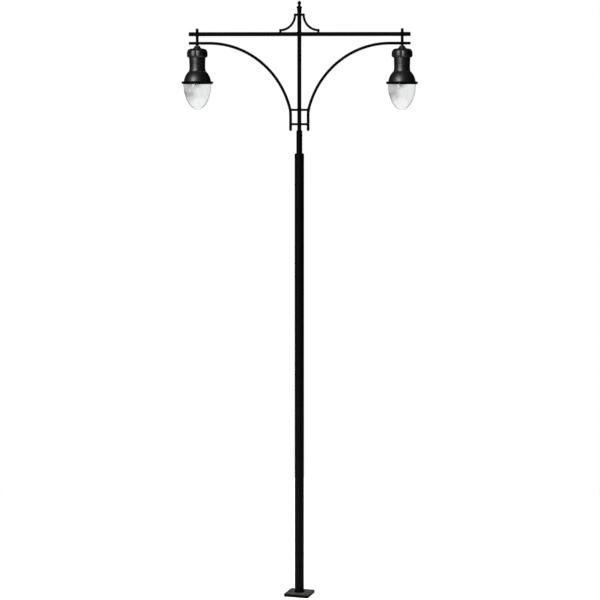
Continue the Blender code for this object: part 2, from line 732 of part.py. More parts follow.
def scroll(side):
    """A thin quarter-round bar on top of the arm, with a lug to the mast and one to the arm."""
    bend = arc((SCROLL_SWEEP, SCROLL_TOP), SCROLL_SWEEP, 180, 270, 10)
    path = [(side * (SCROLL_INNER + x * BEND_SQUEEZE), 0, z) for x, z in bend]
    name = side_name(side, "scroll")
    piece = bar(name, path, SCROLL_RADIUS, BLACK_PAINT)
    lug = rod(
        name + "_mast_lug", SCROLL_RADIUS * 0.96,
        (side * MAST_RADIUS * 0.7, 0, SCROLL_TOP), (side * (SCROLL_INNER + 0.006), 0, SCROLL_TOP),
    )
    end = Vector(path[-1])
    tail = rod(
        name + "_tail", SCROLL_RADIUS * 1.04,
        end - Vector((side * 0.004, 0, 0)), end + Vector((side * 0.012, 0, 0)),
    )
    foot = rod(name + "_foot", SCROLL_RADIUS * 0.92, end, (end.x, 0, ARM_HEIGHT))
    arm = rod(
        name + "_arm_saddle", ARM_RADIUS + GAP,
        (side * MAST_RADIUS, 0, ARM_HEIGHT), (side * ARM_REACH, 0, ARM_HEIGHT), steps=ROUND_STEPS,
    )
    join(piece, lug, tail, foot)
    cut(piece, arm, mast_bore("scroll_saddle", side))


def stem(side):
    """The lantern's drop tube, closed by a domed top."""
    outer, inner = STEM_RADIUS, STEM_RADIUS - STEM_WALL
    ceiling = STEM_TOP - 0.010
    outline = [
        (0, STEM_TOP), (outer - 0.006, STEM_TOP - 0.001), (outer, STEM_TOP - 0.006),
        (outer, STEM_FOOT), (inner, STEM_FOOT), (inner, ceiling), (0, ceiling),
    ]
    middle = side * STEM_REACH
    pipe = turned(side_name(side, "stem"), outline, BLACK_PAINT, (middle, 0, 0), closed=False)
    cut(pipe, rod(
        pipe.name + "_wire_hole", WIRE_HOLE,
        (middle - side * (outer + OVERSHOOT), 0, ARM_HEIGHT), (middle, 0, ARM_HEIGHT),
    ))


# Lantern, on one side

def at_lantern(side, x=0.0, y=0.0, z=0.0):
    return Vector((side * STEM_REACH + x, y, z))


def lantern_turned(side, name, outline, finish, closed=True, steps=ROUND_STEPS):
    return turned(side_name(side, name), outline, finish, at_lantern(side), closed, steps)


def lantern_block(side, name, box, finish=None, aside=0.0):
    return block(name, *(at_lantern(side, x + aside, y, z) for x, y, z in box), finish)


def across_pivot(side, name, radius, half, middle=0.0, finish=None):
    """A cylinder on the rim's hinge line."""
    start, end = (
        at_lantern(side, middle + x, PIVOT_REACH, PIVOT_HEIGHT) for x in (-half, half)
    )
    return rod(name, radius, start, end, finish)


def at_latch(side, name, radius, span, finish=None):
    """An upright cylinder on the latch's axis."""
    start, end = (at_lantern(side, 0, -LATCH_REACH, z) for z in span)
    return rod(name, radius, start, end, finish)


def lantern_hub(side):
    """The cast cone that the stem screws into; its shank clamps the cap and the neck."""
    bore = STEM_RADIUS + GAP
    seat = STEM_FOOT - GAP
    outline = [
        *HUB_CONE, (HUB_SHANK, HUB_FOOT), (HUB_SHANK, HUB_SHANK_FOOT),
        (HUB_WIRE_BORE, HUB_SHANK_FOOT), (HUB_WIRE_BORE, seat), (bore, seat), (bore, HUB_TOP),
    ]
    lantern_turned(side, "lantern_hub", outline, CAST_PAINT)


def vent_cap(side):
    """A crown of rounded lobes, open all round its lower edge for the warm air."""
    bm = bmesh.new()
    line = [(HUB_SHANK + GAP, HUB_FOOT - GAP), *CAP_LINE]
    verts = [bm.verts.new((radius, 0, height)) for radius, height in line]
    edges = [bm.edges.new(pair) for pair in zip(verts, verts[1:])]
    bmesh.ops.spin(
        bm, geom=verts + edges, cent=(0, 0, 0), axis=(0, 0, 1),
        angle=2 * math.pi, steps=CAP_LOBES * CAP_LOBE_STEPS, use_merge=True,
    )
    bmesh.ops.remove_doubles(bm, verts=bm.verts, dist=0.000001)
    for vert in bm.verts:
        radius = math.hypot(vert.co.x, vert.co.y)
        angle = math.atan2(vert.co.y, vert.co.x)
        lobe = abs(math.cos(CAP_LOBES * angle / 2))
        outward = max(0.0, (radius - CAP_FLAT) / (CAP_RADIUS - CAP_FLAT))
        lower = max(0.0, (CAP_SCALLOP_TOP - vert.co.z) / CAP_SCALLOP_TALL)
        shrink = 1 - CAP_GROOVE * (1 - lobe) * outward
        vert.co.x *= shrink
        vert.co.y *= shrink
        vert.co.z += CAP_SCALLOP * lower * (lobe - 0.6)
    bmesh.ops.recalc_face_normals(bm, faces=bm.faces)
    name = side_name(side, "vent_cap")
    mesh = bpy.data.meshes.new(name)
    bm.to_mesh(mesh)
    bm.free()
    mesh.shade_smooth()
    cap = place(bpy.data.objects.new(name, mesh))
    cap.location = at_lantern(side)
    shell = cap.modifiers.new("shell", "SOLIDIFY")
    shell.thickness = CAP_WALL
    shell.offset = -1
    painted(cap, CAST_PAINT)


def shell_outline(outer, wall):
    """A closed outline from an outer line: back along the inner side, one wall further in."""
    inner = []
    for i, (radius, height) in enumerate(outer):
        before, after = outer[max(i - 1, 0)], outer[min(i + 1, len(outer) - 1)]
        along = Vector((after[0] - before[0], after[1] - before[1])).normalized()
        inner.append((radius + along.y * wall, height - along.x * wall))
    return [*outer, *reversed(inner)]


def lantern_neck(side):
    """The gear housing: closed above by a plate on the hub's shank, open below."""
    wall = shell_outline(NECK_SIDE, NECK_WALL)[len(NECK_SIDE):-1]
    ceiling = NECK_TOP - NECK_WALL
    ledge_foot, ledge_top = NECK_LEDGE[0][1], NECK_LEDGE[-1][1]
    outline = [
        (HUB_SHANK + GAP, NECK_TOP), (NECK_TOP_FLAT, NECK_TOP), *NECK_SIDE,
        *(point for point in wall if point[1] < ledge_foot - NECK_WALL), *NECK_LEDGE,
        *(point for point in wall if point[1] > ledge_top + NECK_WALL),
        (0.100, ceiling), (HUB_SHANK + GAP, ceiling),
    ]
    neck = lantern_turned(side, "lantern_neck", outline, CAST_PAINT)
    for i in range(4):
        angle = math.radians(45 + 90 * i)
        reach = NECK_VENT_REACH
        start, end = (
            at_lantern(side, reach * math.cos(angle), reach * math.sin(angle), z)
            for z in (NECK_TOP - 2 * OVERSHOOT, NECK_TOP + OVERSHOOT)
        )
        cut(neck, rod(f"{neck.name}_vent_{i}", NECK_VENT, start, end, steps=8))


def lantern_canopy(side):
    """The spun bell, with hinge lugs behind and a latch lug in front."""
    outline = shell_outline(CANOPY_LINE, CANOPY_WALL)
    canopy = lantern_turned(side, "canopy", outline, CAST_PAINT)
    name = canopy.name
    for i, x in enumerate(LUG_PLACES):
        half = LUG_HALF - EYE_SHORTER
        join(
            canopy, lantern_block(side, f"{name}_lug_{i}", LUG_BOX, aside=x),
            across_pivot(side, f"{name}_eye_{i}", PIVOT_EYE, half, middle=x),
        )
    cut(canopy, across_pivot(side, name + "_pivot_bore", PIVOT_BORE, PIVOT_BORE_HALF))
    join(canopy, lantern_block(side, name + "_latch_lug", LATCH_LUG_BOX))
    cut(canopy, lantern_block(side, name + "_latch_slot", LATCH_SLOT_BOX))


def rim_ring(side):
    """The hinged ring that carries the bowl on an inner ledge."""
    ring = lantern_turned(side, "rim_ring", RIM_LINE, BLACK_PAINT)
    name = ring.name
    eye_half = KNUCKLE_BOX[1][0] - EYE_SHORTER
    join(
        ring, lantern_block(side, name + "_knuckle", KNUCKLE_BOX),
        across_pivot(side, name + "_eye", PIVOT_EYE, eye_half),
        lantern_block(side, name + "_latch_ear", LATCH_EAR_BOX),
    )
    cut(
        ring, across_pivot(side, name + "_pivot_bore", PIVOT_BORE, PIVOT_BORE_HALF),
        at_latch(side, name + "_stud_bore", LATCH_BORE, LATCH_BORE_SPAN),
    )


def rim_pin(side):
    name = side_name(side, "rim_hinge_pin")
    across_pivot(side, name, PIVOT_PIN, PIVOT_PIN_HALF, finish=STAINLESS)


def rim_latch(side):
    """A quarter-turn latch: a knob below the rim and a cross bar that passes the canopy's slot."""
    name = side_name(side, "rim_latch")
    latch = at_latch(side, name, LATCH_STUD, LATCH_STUD_SPAN, BLACK_PAINT)
    join(
        latch, at_latch(side, name + "_knob", LATCH_KNOB, LATCH_KNOB_SPAN),
        lantern_block(side, name + "_bar", LATCH_BAR_BOX),
    )


def bowl_side(radius, depth):
    """One side of an egg-shaped bowl, from its open edge down to just above its bottom."""
    turns = (math.pi / 2 * i / BOWL_RINGS for i in range(BOWL_RINGS))
    return [(radius * math.cos(turn), BOWL_RIM - depth * math.sin(turn)) for turn in turns]


def bowl(side):
    """A blown egg-shaped bowl with a flange that rests on the rim's ledge."""
    outer = bowl_side(BOWL_RADIUS, BOWL_DEPTH)
    inner = bowl_side(BOWL_RADIUS - BOWL_WALL, BOWL_DEPTH - BOWL_WALL)
    seat, top = BOWL_FLANGE_SPAN
    bottom = BOWL_RIM - BOWL_DEPTH
    outline = [
        (0, bottom + BOWL_WALL), *reversed(inner),
        (inner[0][0], top), (BOWL_FLANGE, top), (BOWL_FLANGE, seat), (BOWL_RADIUS, seat),
        *outer, (0, bottom),
    ]
    lantern_turned(side, "bowl", outline, CLEAR, closed=False)


def lantern_gear(side):
    """The tray on the neck's ledge, with the ballast on it and the lampholder under it."""
    top = TRAY_FLOOR + TRAY_THICK
    tray = [(TRAY_RADIUS, top), (TRAY_RADIUS, TRAY_FLOOR), (TRAY_BORE, TRAY_FLOOR), (TRAY_BORE, top)]
    lantern_turned(side, "gear_tray", tray, ZINC)
    ballast = lantern_block(side, side_name(side, "ballast"), BALLAST_BOX, BLACK_PAINT)
    join(ballast, lantern_block(side, ballast.name + "_foot", BALLAST_FOOT_BOX))
    lantern_turned(side, "lampholder", HOLDER_LINE, PORCELAIN, steps=SMALL_STEPS)
    lantern_turned(side, "lamp", LAMP_LINE, OPAL, closed=False, steps=SMALL_STEPS)


def lantern(side):
    lantern_hub(side)
    vent_cap(side)
    lantern_neck(side)
    lantern_canopy(side)
    rim_ring(side)
    rim_pin(side)
    rim_latch(side)
    bowl(side)
    lantern_turned(side, "bowl_gasket", GASKET_LINE, BLACK_RUBBER)
    lantern_gear(side)
    # The reflector is a bright spun dish that lines the bell with a small air gap.
    lantern_turned(side, "reflector", shell_outline(REFLECTOR_LINE, REFLECTOR_WALL), BRIGHT)


def main():
    base_plate()
    lower_shaft()
    access_door()
    door_hinge_pin()
    door_lock()
    column_tubes()
    finial()
    service_gear()
    for side in (-1, 1):
        cross_arm(side)
        arm_cap(side)
        curved_bracket(side)
        bracket_stub(side)
        for level in TIE_HEIGHTS:
            bracket_tie(side, level)
        scroll(side)
        stem(side)
        lantern(side)


main()
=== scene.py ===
"""The street lamp post's looks: finer pieces, painted and glazed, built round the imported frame.

Metres, +Z up. Every mesh is made in its place in the row frame, so its object stays at the origin.
"""

import json
import math

import bmesh
import bpy
from mathutils import Matrix, Vector


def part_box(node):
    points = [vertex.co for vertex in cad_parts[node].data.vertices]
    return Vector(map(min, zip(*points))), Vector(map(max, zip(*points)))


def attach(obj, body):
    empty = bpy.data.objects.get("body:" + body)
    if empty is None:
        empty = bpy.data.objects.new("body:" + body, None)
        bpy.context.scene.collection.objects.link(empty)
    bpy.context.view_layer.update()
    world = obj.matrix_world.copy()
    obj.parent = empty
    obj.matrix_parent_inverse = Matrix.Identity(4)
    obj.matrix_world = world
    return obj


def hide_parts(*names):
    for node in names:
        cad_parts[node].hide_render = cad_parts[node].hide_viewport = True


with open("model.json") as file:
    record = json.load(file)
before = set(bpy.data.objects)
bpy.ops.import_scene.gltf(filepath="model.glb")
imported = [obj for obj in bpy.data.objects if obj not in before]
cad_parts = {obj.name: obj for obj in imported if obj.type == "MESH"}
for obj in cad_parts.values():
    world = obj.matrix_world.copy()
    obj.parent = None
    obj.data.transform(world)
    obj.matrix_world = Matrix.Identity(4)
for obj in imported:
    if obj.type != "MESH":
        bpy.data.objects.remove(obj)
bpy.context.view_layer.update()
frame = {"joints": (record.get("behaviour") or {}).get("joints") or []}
joints = {joint["name"]: joint for joint in frame["joints"]}

# Sizes read from the frame
PLATE_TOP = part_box("base_plate")[1].z
SHAFT_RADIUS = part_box("shaft_collar")[1].x
SLEEVE_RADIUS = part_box("bracket_sleeve")[1].x
MAST_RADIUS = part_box("mast")[1].x
SHAFT_COLLAR_FOOT, SHAFT_TOP = (corner.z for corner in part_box("shaft_collar"))
SLEEVE_COLLAR_FOOT, SLEEVE_TOP = (corner.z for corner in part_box("sleeve_collar"))
MAST_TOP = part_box("mast")[1].z
ARM_LOW, ARM_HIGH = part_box("right_cross_arm")
ARM_HEIGHT = (ARM_LOW.z + ARM_HIGH.z) / 2
ARM_RADIUS = (ARM_HIGH.z - ARM_LOW.z) / 2
ARM_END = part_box("right_arm_cap")[1].x
STEM_LOW, STEM_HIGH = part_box("right_stem")
STEM_REACH = (STEM_LOW.x + STEM_HIGH.x) / 2
STEM_RADIUS = (STEM_HIGH.x - STEM_LOW.x) / 2
DOOR_LOW, DOOR_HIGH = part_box("access_door")
DOOR_PIN = Vector(joints["access_door_hinge"]["pos_m"])
DOOR_MIDDLE = DOOR_PIN.z
RIM_PIVOT = Vector(joints["right_rim_hinge"]["pos_m"])
LATCH_REACH = joints["right_latch_turn"]["pos_m"][1]

# Sizes that no box gives
PLATE_TURN = math.radians(-13.15)
PLATE_HALF = 0.1875
PLATE_CORNER = 0.010
ANCHOR_OUT = 0.140
ANCHOR_HOLE = 0.0135
CABLE_HOLE = 0.050
SHAFT_WALL = 0.004
SLEEVE_WALL = 0.0032
MAST_WALL = 0.0029
STEM_WALL = 0.0026
KNEE_RADIUS = 0.450
KNEE_TURN = 16.0
SWEEP_RADIUS = 1.282
SCROLL_SWEEP = 0.225
SCROLL_REACH = 0.0634
SCROLL_TOP = 8.689
BEND_SQUEEZE = 0.9604
BALL_HEIGHT = 8.858
BALL_RADIUS = 0.0285
PIN_RADIUS = 0.0025
PIN_BORE = 0.0027
DOOR_HALF = 0.042
DOOR_CORNER = 0.014
DOOR_GAP = 0.002
KNUCKLE_RADIUS = 0.0050
KNUCKLE_HALF = 0.0147
KNUCKLE_PITCH = 0.030
KNUCKLE_INSET = 0.073
BREAKER_FACE = 0.034
TERMINAL_PLACES = (-0.022, -0.0075, 0.0075, 0.022)
TERMINAL_HEIGHT = 0.6875
GAP = 0.0003
SNUG = 0.0002
CHAMFER = 0.0014

# Facets round a turned shape
COARSE = 32
SMALL = 48
MIDDLING = 64
ROUND = 96
FINE = 128

UP = Vector((0, 0, 1))
ACROSS = Vector((0, 1, 0))


# Materials

def shader_tree(name):
    material = bpy.data.materials.new(name)
    material.use_nodes = True
    tree = material.node_tree
    return material, tree, tree.nodes["Principled BSDF"]


def texture_space(tree, stretch=(1, 1, 1)):
    where = tree.nodes.new("ShaderNodeTexCoord")
    mapping = tree.nodes.new("ShaderNodeMapping")
    mapping.inputs["Scale"].default_value = stretch
    tree.links.new(where.outputs["Object"], mapping.inputs["Vector"])
    return mapping.outputs["Vector"]


def grain(tree, scale, detail=3.0, stretch=(1, 1, 1), roughness=0.5):
    noise = tree.nodes.new("ShaderNodeTexNoise")
    noise.inputs["Scale"].default_value = scale
    noise.inputs["Detail"].default_value = detail
    noise.inputs["Roughness"].default_value = roughness
    tree.links.new(texture_space(tree, stretch), noise.inputs["Vector"])
    return noise.outputs["Fac"]


def ranged(tree, value, low, high, start=0.3, end=0.7):
    node = tree.nodes.new("ShaderNodeMapRange")
    node.inputs["From Min"].default_value = start
    node.inputs["From Max"].default_value = end
    node.inputs["To Min"].default_value = low
    node.inputs["To Max"].default_value = high
    tree.links.new(value, node.inputs["Value"])
    return node.outputs["Result"]


def multiplied(tree, one, two):
    node = tree.nodes.new("ShaderNodeMath")
    node.operation = "MULTIPLY"
    tree.links.new(one, node.inputs[0])
    tree.links.new(two, node.inputs[1])
    return node.outputs["Value"]


def blended(tree, amount, one, two):
    """A colour between two, each a colour socket or three numbers."""
    node = tree.nodes.new("ShaderNodeMix")
    node.data_type = "RGBA"
    tree.links.new(amount, node.inputs[0])
    for socket, colour in ((node.inputs[6], one), (node.inputs[7], two)):
        if isinstance(colour, tuple):
            socket.default_value = (*colour, 1.0)
        else:
            tree.links.new(colour, socket)
    return node.outputs[2]


def mottled(tree, scale, detail, dark, light):
    """A tone that wanders between two colours."""
    return blended(tree, ranged(tree, grain(tree, scale, detail), 0.0, 1.0), dark, light)


def surfaced(tree, shader, tone, gloss):
    tree.links.new(tone, shader.inputs["Base Color"])
    tree.links.new(gloss, shader.inputs["Roughness"])


def bumped(tree, shader, height, strength, depth):
    bump = tree.nodes.new("ShaderNodeBump")
    bump.inputs["Strength"].default_value = strength
    bump.inputs["Distance"].default_value = depth
    tree.links.new(height, bump.inputs["Height"])
    tree.links.new(bump.outputs["Normal"], shader.inputs["Normal"])


def facing_up(tree, start, end):
    geometry = tree.nodes.new("ShaderNodeNewGeometry")
    parts = tree.nodes.new("ShaderNodeSeparateXYZ")
    tree.links.new(geometry.outputs["Normal"], parts.inputs["Vector"])
    return ranged(tree, parts.outputs["Z"], 0.0, 1.0, start, end)


def paint(name, dark, light, gloss, level, dust_and_sheen, dust_and_sheen_colour):
    """Powder coat: fine orange peel, slow changes of tone and shine, and a lighter tone on what
    faces up: dust, plus a painted sheen of the sky on the tops.
    """
    material, tree, shader = shader_tree(name)
    # Tops lighter: real dust plus a painted sky sheen, the tops' reflection of the sky put into the
    # colour.
    dust_and_sheen_mask = multiplied(
        tree, facing_up(tree, 0.96, 0.999), ranged(tree, grain(tree, 30.0, 6.0), 0.4 * dust_and_sheen, dust_and_sheen)
    )
    tone = blended(tree, dust_and_sheen_mask, mottled(tree, 3.0, 5.0, dark, light), dust_and_sheen_colour)
    surfaced(tree, shader, tone, ranged(tree, grain(tree, 14.0, 4.0), *gloss))
    shader.inputs["Specular IOR Level"].default_value = level
    bumped(tree, shader, grain(tree, 700.0, 2.0), 0.12, 0.0006)
    return material


def metal(name, dark, light, gloss, stretch, bump=0.1):
    """Bare metal with fine lines left by its making."""
    material, tree, shader = shader_tree(name)
    lines = grain(tree, 60.0, 4.0, stretch)
    surfaced(tree, shader, mottled(tree, 18.0, 4.0, dark, light), ranged(tree, lines, *gloss))
    shader.inputs["Metallic"].default_value = 1.0
    bumped(tree, shader, lines, bump, 0.0003)
    return material


def moulded(name, dark, light, gloss, pitch=900.0, bump=0.15, level=0.5):
    """Plastic, rubber, board or porcelain: a little variation in colour over a fine texture."""
    material, tree, shader = shader_tree(name)
    tone = mottled(tree, 25.0, 5.0, dark, light)
    surfaced(tree, shader, tone, ranged(tree, grain(tree, 60.0, 3.0), *gloss))
    shader.inputs["Specular IOR Level"].default_value = level
    bumped(tree, shader, grain(tree, pitch, 2.0), bump, 0.0004)
    return material


def near(tree, middle, reach):
    """One at middle, an x and z in shares of the piece's own box, falling to nothing at reach."""
    where = tree.nodes.new("ShaderNodeTexCoord")
    flat = tree.nodes.new("ShaderNodeVectorMath")
    flat.operation = "MULTIPLY"
    flat.inputs[1].default_value = (1, 0, 1)
    off = tree.nodes.new("ShaderNodeVectorMath")
    off.operation = "DISTANCE"
    off.inputs[1].default_value = (middle[0], 0, middle[1])
    tree.links.new(where.outputs["Generated"], flat.inputs[0])
    tree.links.new(flat.outputs["Vector"], off.inputs[0])
    return ranged(tree, off.outputs["Value"], 1.0, 0.0, 0.0, reach)


def clear_glass(name):
    """Clear blown glass: upright streaks, with painted shade in its colour: a dark patch low on one
    side, and a grey band high on the left under the rim.
    """
    material, tree, shader = shader_tree(name)
    streaks = grain(tree, 7.0, 4.0, (6, 6, 0.5))
    # Noise that breaks up the painted shade patch.
    shade_breakup = ranged(tree, grain(tree, 14.0, 3.0, (1, 1, 0.7)), 0.35, 1.0, 0.35, 0.60)
    clear = blended(
        tree, ranged(tree, streaks, 0.0, 1.0), (0.92, 0.92, 0.925), (0.98, 0.985, 0.985)
    )
    # Painted shade: a dark patch low on one side of the glass.
    painted_shade_patch = multiplied(tree, near(tree, (0.12, 0.56), 0.34), shade_breakup)
    tone = blended(tree, painted_shade_patch, clear, (0.45, 0.45, 0.46))
    # Painted shade: a grey band high on the left, under the rim.
    tone = blended(tree, near(tree, (0.30, 1.14), 0.46), tone, (0.38, 0.38, 0.39))
    surfaced(tree, shader, tone, ranged(tree, streaks, 0.0, 0.02))
    shader.inputs["Transmission Weight"].default_value = 1.0
    shader.inputs["IOR"].default_value = 1.38
    bumped(tree, shader, grain(tree, 9.0, 2.0, (1, 1, 0.35)), 0.04, 0.01)
    return material


def coated_glass(name):
    """White coated lamp glass, its coat a little uneven."""
    material, tree, shader = shader_tree(name)
    tone = mottled(tree, 40.0, 4.0, (0.86, 0.86, 0.84), (0.94, 0.94, 0.92))
    surfaced(tree, shader, tone, ranged(tree, grain(tree, 30.0, 3.0), 0.42, 0.55))
    shader.inputs["Specular IOR Level"].default_value = 0.3
    return material


# Colour of the dust and the painted sky sheen laid on what faces up.
DUST_AND_SHEEN = (0.15, 0.145, 0.135)
MATERIALS = {
    "black_paint": paint(
        "black_paint", (0.0007, 0.0007, 0.0008), (0.0014, 0.0014, 0.0015), (0.42, 0.56), 0.03,
        0.40, DUST_AND_SHEEN,
    ),
    "lantern_paint": paint(
        "lantern_paint", (0.0024, 0.0023, 0.0024), (0.0040, 0.0038, 0.0040), (0.41, 0.45), 0.62,
        0.03, DUST_AND_SHEEN,
    ),
    "zinc_steel": metal(
        "zinc_steel", (0.40, 0.41, 0.42), (0.56, 0.57, 0.59), (0.34, 0.52), (1, 12, 1)
    ),
    "stainless": metal(
        "stainless", (0.50, 0.50, 0.51), (0.64, 0.64, 0.65), (0.22, 0.36), (1, 1, 20)
    ),
    "brass": metal("brass", (0.56, 0.41, 0.17), (0.70, 0.53, 0.26), (0.26, 0.42), (1, 20, 1)),
    "reflector_metal": metal(
        "reflector_metal", (0.80, 0.81, 0.82), (0.90, 0.91, 0.92), (0.12, 0.24), (1, 1, 8), 0.04
    ),
    "porcelain": moulded(
        "porcelain", (0.78, 0.77, 0.73), (0.86, 0.85, 0.82), (0.12, 0.24), 160.0, 0.05
    ),
    "rubber": moulded("rubber", (0.012, 0.012, 0.012), (0.022, 0.022, 0.021), (0.70, 0.88)),
    "grey_plastic": moulded("grey_plastic", (0.31, 0.32, 0.33), (0.37, 0.38, 0.39), (0.42, 0.55)),
    "dark_plastic": moulded(
        "dark_plastic", (0.016, 0.016, 0.017), (0.026, 0.026, 0.027), (0.38, 0.5)
    ),
    "insulating_board": moulded(
        "insulating_board", (0.50, 0.45, 0.36), (0.63, 0.58, 0.49), (0.60, 0.78), 350.0, 0.3
    ),
    "ballast_paint": moulded(
        "ballast_paint", (0.020, 0.018, 0.016), (0.034, 0.031, 0.028), (0.30, 0.45), 500.0, 0.2
    ),
    "clear_bowl": clear_glass("clear_bowl"),
    "lamp_glass": coated_glass("lamp_glass"),
}


# Shapes

def piece(name, bm, slot, body, *stood_for, angle=35):
    """A bmesh as a finished piece: painted, riding on its body, and standing for its CAD nodes."""
    bmesh.ops.recalc_face_normals(bm, faces=bm.faces)
    mesh = bpy.data.meshes.new(name)
    bm.to_mesh(mesh)
    bm.free()
    mesh.shade_smooth()
    mesh.set_sharp_from_angle(angle=math.radians(angle))
    mesh.materials.append(MATERIALS[slot])
    obj = bpy.data.objects.new(name, mesh)
    bpy.context.scene.collection.objects.link(obj)
    if stood_for:
        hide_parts(*stood_for)
    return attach(obj, body)


def join_rings(bm, one, two):
    count = max(len(one), len(two))
    for i in range(count if count > 1 else 0):
        j = (i + 1) % count
        if len(one) == 1:
            bm.faces.new((one[0], two[i], two[j]))
        elif len(two) == 1:
            bm.faces.new((one[i], one[j], two[0]))
        else:
            bm.faces.new((one[i], one[j], two[j], two[i]))


def lathe(bm, outline, place=Matrix(), steps=ROUND, closed=False, warp=None):
    """A turned shape. warp changes a point's radius and height by its angle."""
    rings = []
    for radius, height in outline:
        ring = []
        for i in range(steps if radius > 1e-6 else 1):
            turn = 2 * math.pi * i / steps
            out, up = warp(radius, height, turn) if warp else (radius, height)
            ring.append(bm.verts.new(
                place @ Vector((out * math.cos(turn), out * math.sin(turn), up))
            ))
        rings.append(ring)
    if closed:
        rings.append(rings[0])
    for one, two in zip(rings, rings[1:]):
        join_rings(bm, one, two)
    return bm


def turned(outline, place, steps=ROUND):
    """A shape turned from an open outline, which starts and ends on the axis or is a sheet."""
    return lathe(bmesh.new(), eased(outline), place, steps)


def turned_ring(outline, place=Matrix(), steps=ROUND, warp=None):
    """A shape turned from an outline that closes on itself."""
    return lathe(bmesh.new(), eased(outline, True), place, steps, True, warp)


def waved(depth, count, beyond):
    """A warp for lathe: points beyond a radius go in and out by depth, count times round."""
    def warp(radius, height, turn):
        return radius + (depth * math.sin(count * turn) if radius > beyond else 0), height
    return warp


def eased(outline, closed=False, count=4):
    """The outline with each corner that gives a third number cut back that far and rounded."""
    made = []
    total = len(outline)
    for i, corner in enumerate(outline):
        at = Vector(corner[:2])
        ease = corner[2] if len(corner) > 2 else 0.0
        if not ease or not (closed or 0 < i < total - 1):
            made.append(tuple(at))
            continue
        before = Vector(outline[i - 1][:2])
        after = Vector(outline[(i + 1) % total][:2])
        start = at + (before - at).normalized() * ease
        end = at + (after - at).normalized() * ease
        for k in range(count + 1):
            t = k / count
            made.append(tuple(start * (1 - t) ** 2 + at * 2 * t * (1 - t) + end * t ** 2))
    return made


def flowing(points, count=6):
    """A smooth line through the points."""
    ends = [points[0], *points, points[-1]]
    made = []
    for a, b, c, d in zip(ends, ends[1:], ends[2:], ends[3:]):
        a, b, c, d = map(Vector, (a, b, c, d))
        for k in range(count):
            t = k / count
            made.append(tuple(
                0.5 * (2 * b + (c - a) * t + (2 * a - 5 * b + 4 * c - d) * t ** 2
                       + (3 * b - a - 3 * c + d) * t ** 3)
            ))
    made.append(tuple(points[-1]))
    return made


def shell(outer, wall):
    """An outer line and, coming back, the line one wall inside it."""
    inner = []
    for i, point in enumerate(outer):
        along = Vector(outer[min(i + 1, len(outer) - 1)]) - Vector(outer[max(i - 1, 0)])
        along.normalize()
        inner.append((point[0] + along.y * wall, point[1] - along.x * wall))
    return [*outer, *reversed(inner)]


def standing(x=0.0, y=0.0):
    return Matrix.Translation((x, y, 0))


def pointing(start, end):
    """Turns a lathe's height into the distance from start towards end."""
    start, end = Vector(start), Vector(end)
    return Matrix.Translation(start) @ (end - start).to_track_quat("Z", "Y").to_matrix().to_4x4()


def pin(bm, radius, start, end, steps=32, ease=0.0006):
    """A short round bar with eased ends."""
    length = (Vector(end) - Vector(start)).length
    outline = [(0, 0), (radius, 0, ease), (radius, length, ease), (0, length)]
    return lathe(bm, eased(outline, count=3), pointing(start, end), steps)


def barrel(bm, radius, ease, count, start, end):
    """A hinge's rolled barrel, bored for its pin."""
    length = (end - start).length
    outline = [(PIN_BORE, 0), (radius, 0, ease), (radius, length, ease), (PIN_BORE, length)]
    return lathe(bm, eased(outline, count=count), pointing(start, end), COARSE, True)


def slab(bm, low, high, ease=0.001, place=Matrix(), upright=0.0):
    """A box with rounded edges. upright rounds its four upright edges more."""
    low, high = Vector(low), Vector(high)
    made = bmesh.new()
    bmesh.ops.create_cube(
        made, size=1.0,
        matrix=Matrix.Translation((low + high) / 2) @ Matrix.Diagonal((*(high - low), 1.0)),
    )
    if upright:
        edges = [e for e in made.edges if abs((e.verts[0].co - e.verts[1].co).z) > 1e-5]
        bmesh.ops.bevel(made, geom=edges, offset=upright, segments=6, profile=0.5, affect="EDGES")
    edges = [e for e in made.edges if e.calc_face_angle(0.0) > math.radians(40)]
    bmesh.ops.bevel(made, geom=edges, offset=ease, segments=3, profile=0.5, affect="EDGES")
    made.transform(place)
    return merged(bm, made)


def merged(bm, other):
    mesh = bpy.data.meshes.new("joined")
    other.to_mesh(mesh)
    other.free()
    bm.from_mesh(mesh)
    bpy.data.meshes.remove(mesh)
    return bm


def sweep(bm, path, radii, side, sides=32, loop=False):
    """A round bar along a path. side is a direction across it, or one for each point."""
    count = len(path)
    rings = []
    for i, point in enumerate(path):
        before = path[i - 1] if loop or i else point
        after = path[(i + 1) % count] if loop or i < count - 1 else point
        along = (after - before).normalized()
        across = along.cross(side[i] if isinstance(side, list) else side).normalized()
        outward = across.cross(along)
        radius = radii[i] if isinstance(radii, list) else radii
        rings.append([
            bm.verts.new(point + radius * (math.cos(a) * outward + math.sin(a) * across))
            for a in (2 * math.pi * k / sides for k in range(sides))
        ])
    if loop:
        rings.append(rings[0])
    else:
        for ring in (rings[0], rings[-1]):
            bm.faces.new(ring)
    for one, two in zip(rings, rings[1:]):
        join_rings(bm, one, two)
    return bm


def arc(middle, radius, first, last, count):
    angles = [math.radians(first + (last - first) * i / count) for i in range(count + 1)]
    return [(middle[0] + radius * math.cos(a), middle[1] + radius * math.sin(a)) for a in angles]


def weld(bm, middle, main, branch, main_radius, branch_radius, size=0.0035):
    """A rippled bead round the line where a round branch leaves a round main tube."""
    main, branch = Vector(main), Vector(branch)
    side = main.cross(branch)
    line, outward, radii = [], [], []
    for i in range(72):
        turn = 2 * math.pi * i / 72
        aside, along = branch_radius * math.cos(turn), branch_radius * math.sin(turn)
        out = math.sqrt(max(main_radius ** 2 - aside ** 2, 0.0))
        line.append(Vector(middle) + main * along + side * aside + branch * out)
        outward.append(main * math.sin(turn) + side * math.cos(turn))
        radii.append(size * (1 + 0.14 * math.sin(24 * turn)))
    return sweep(bm, line, radii, outward, sides=10, loop=True)


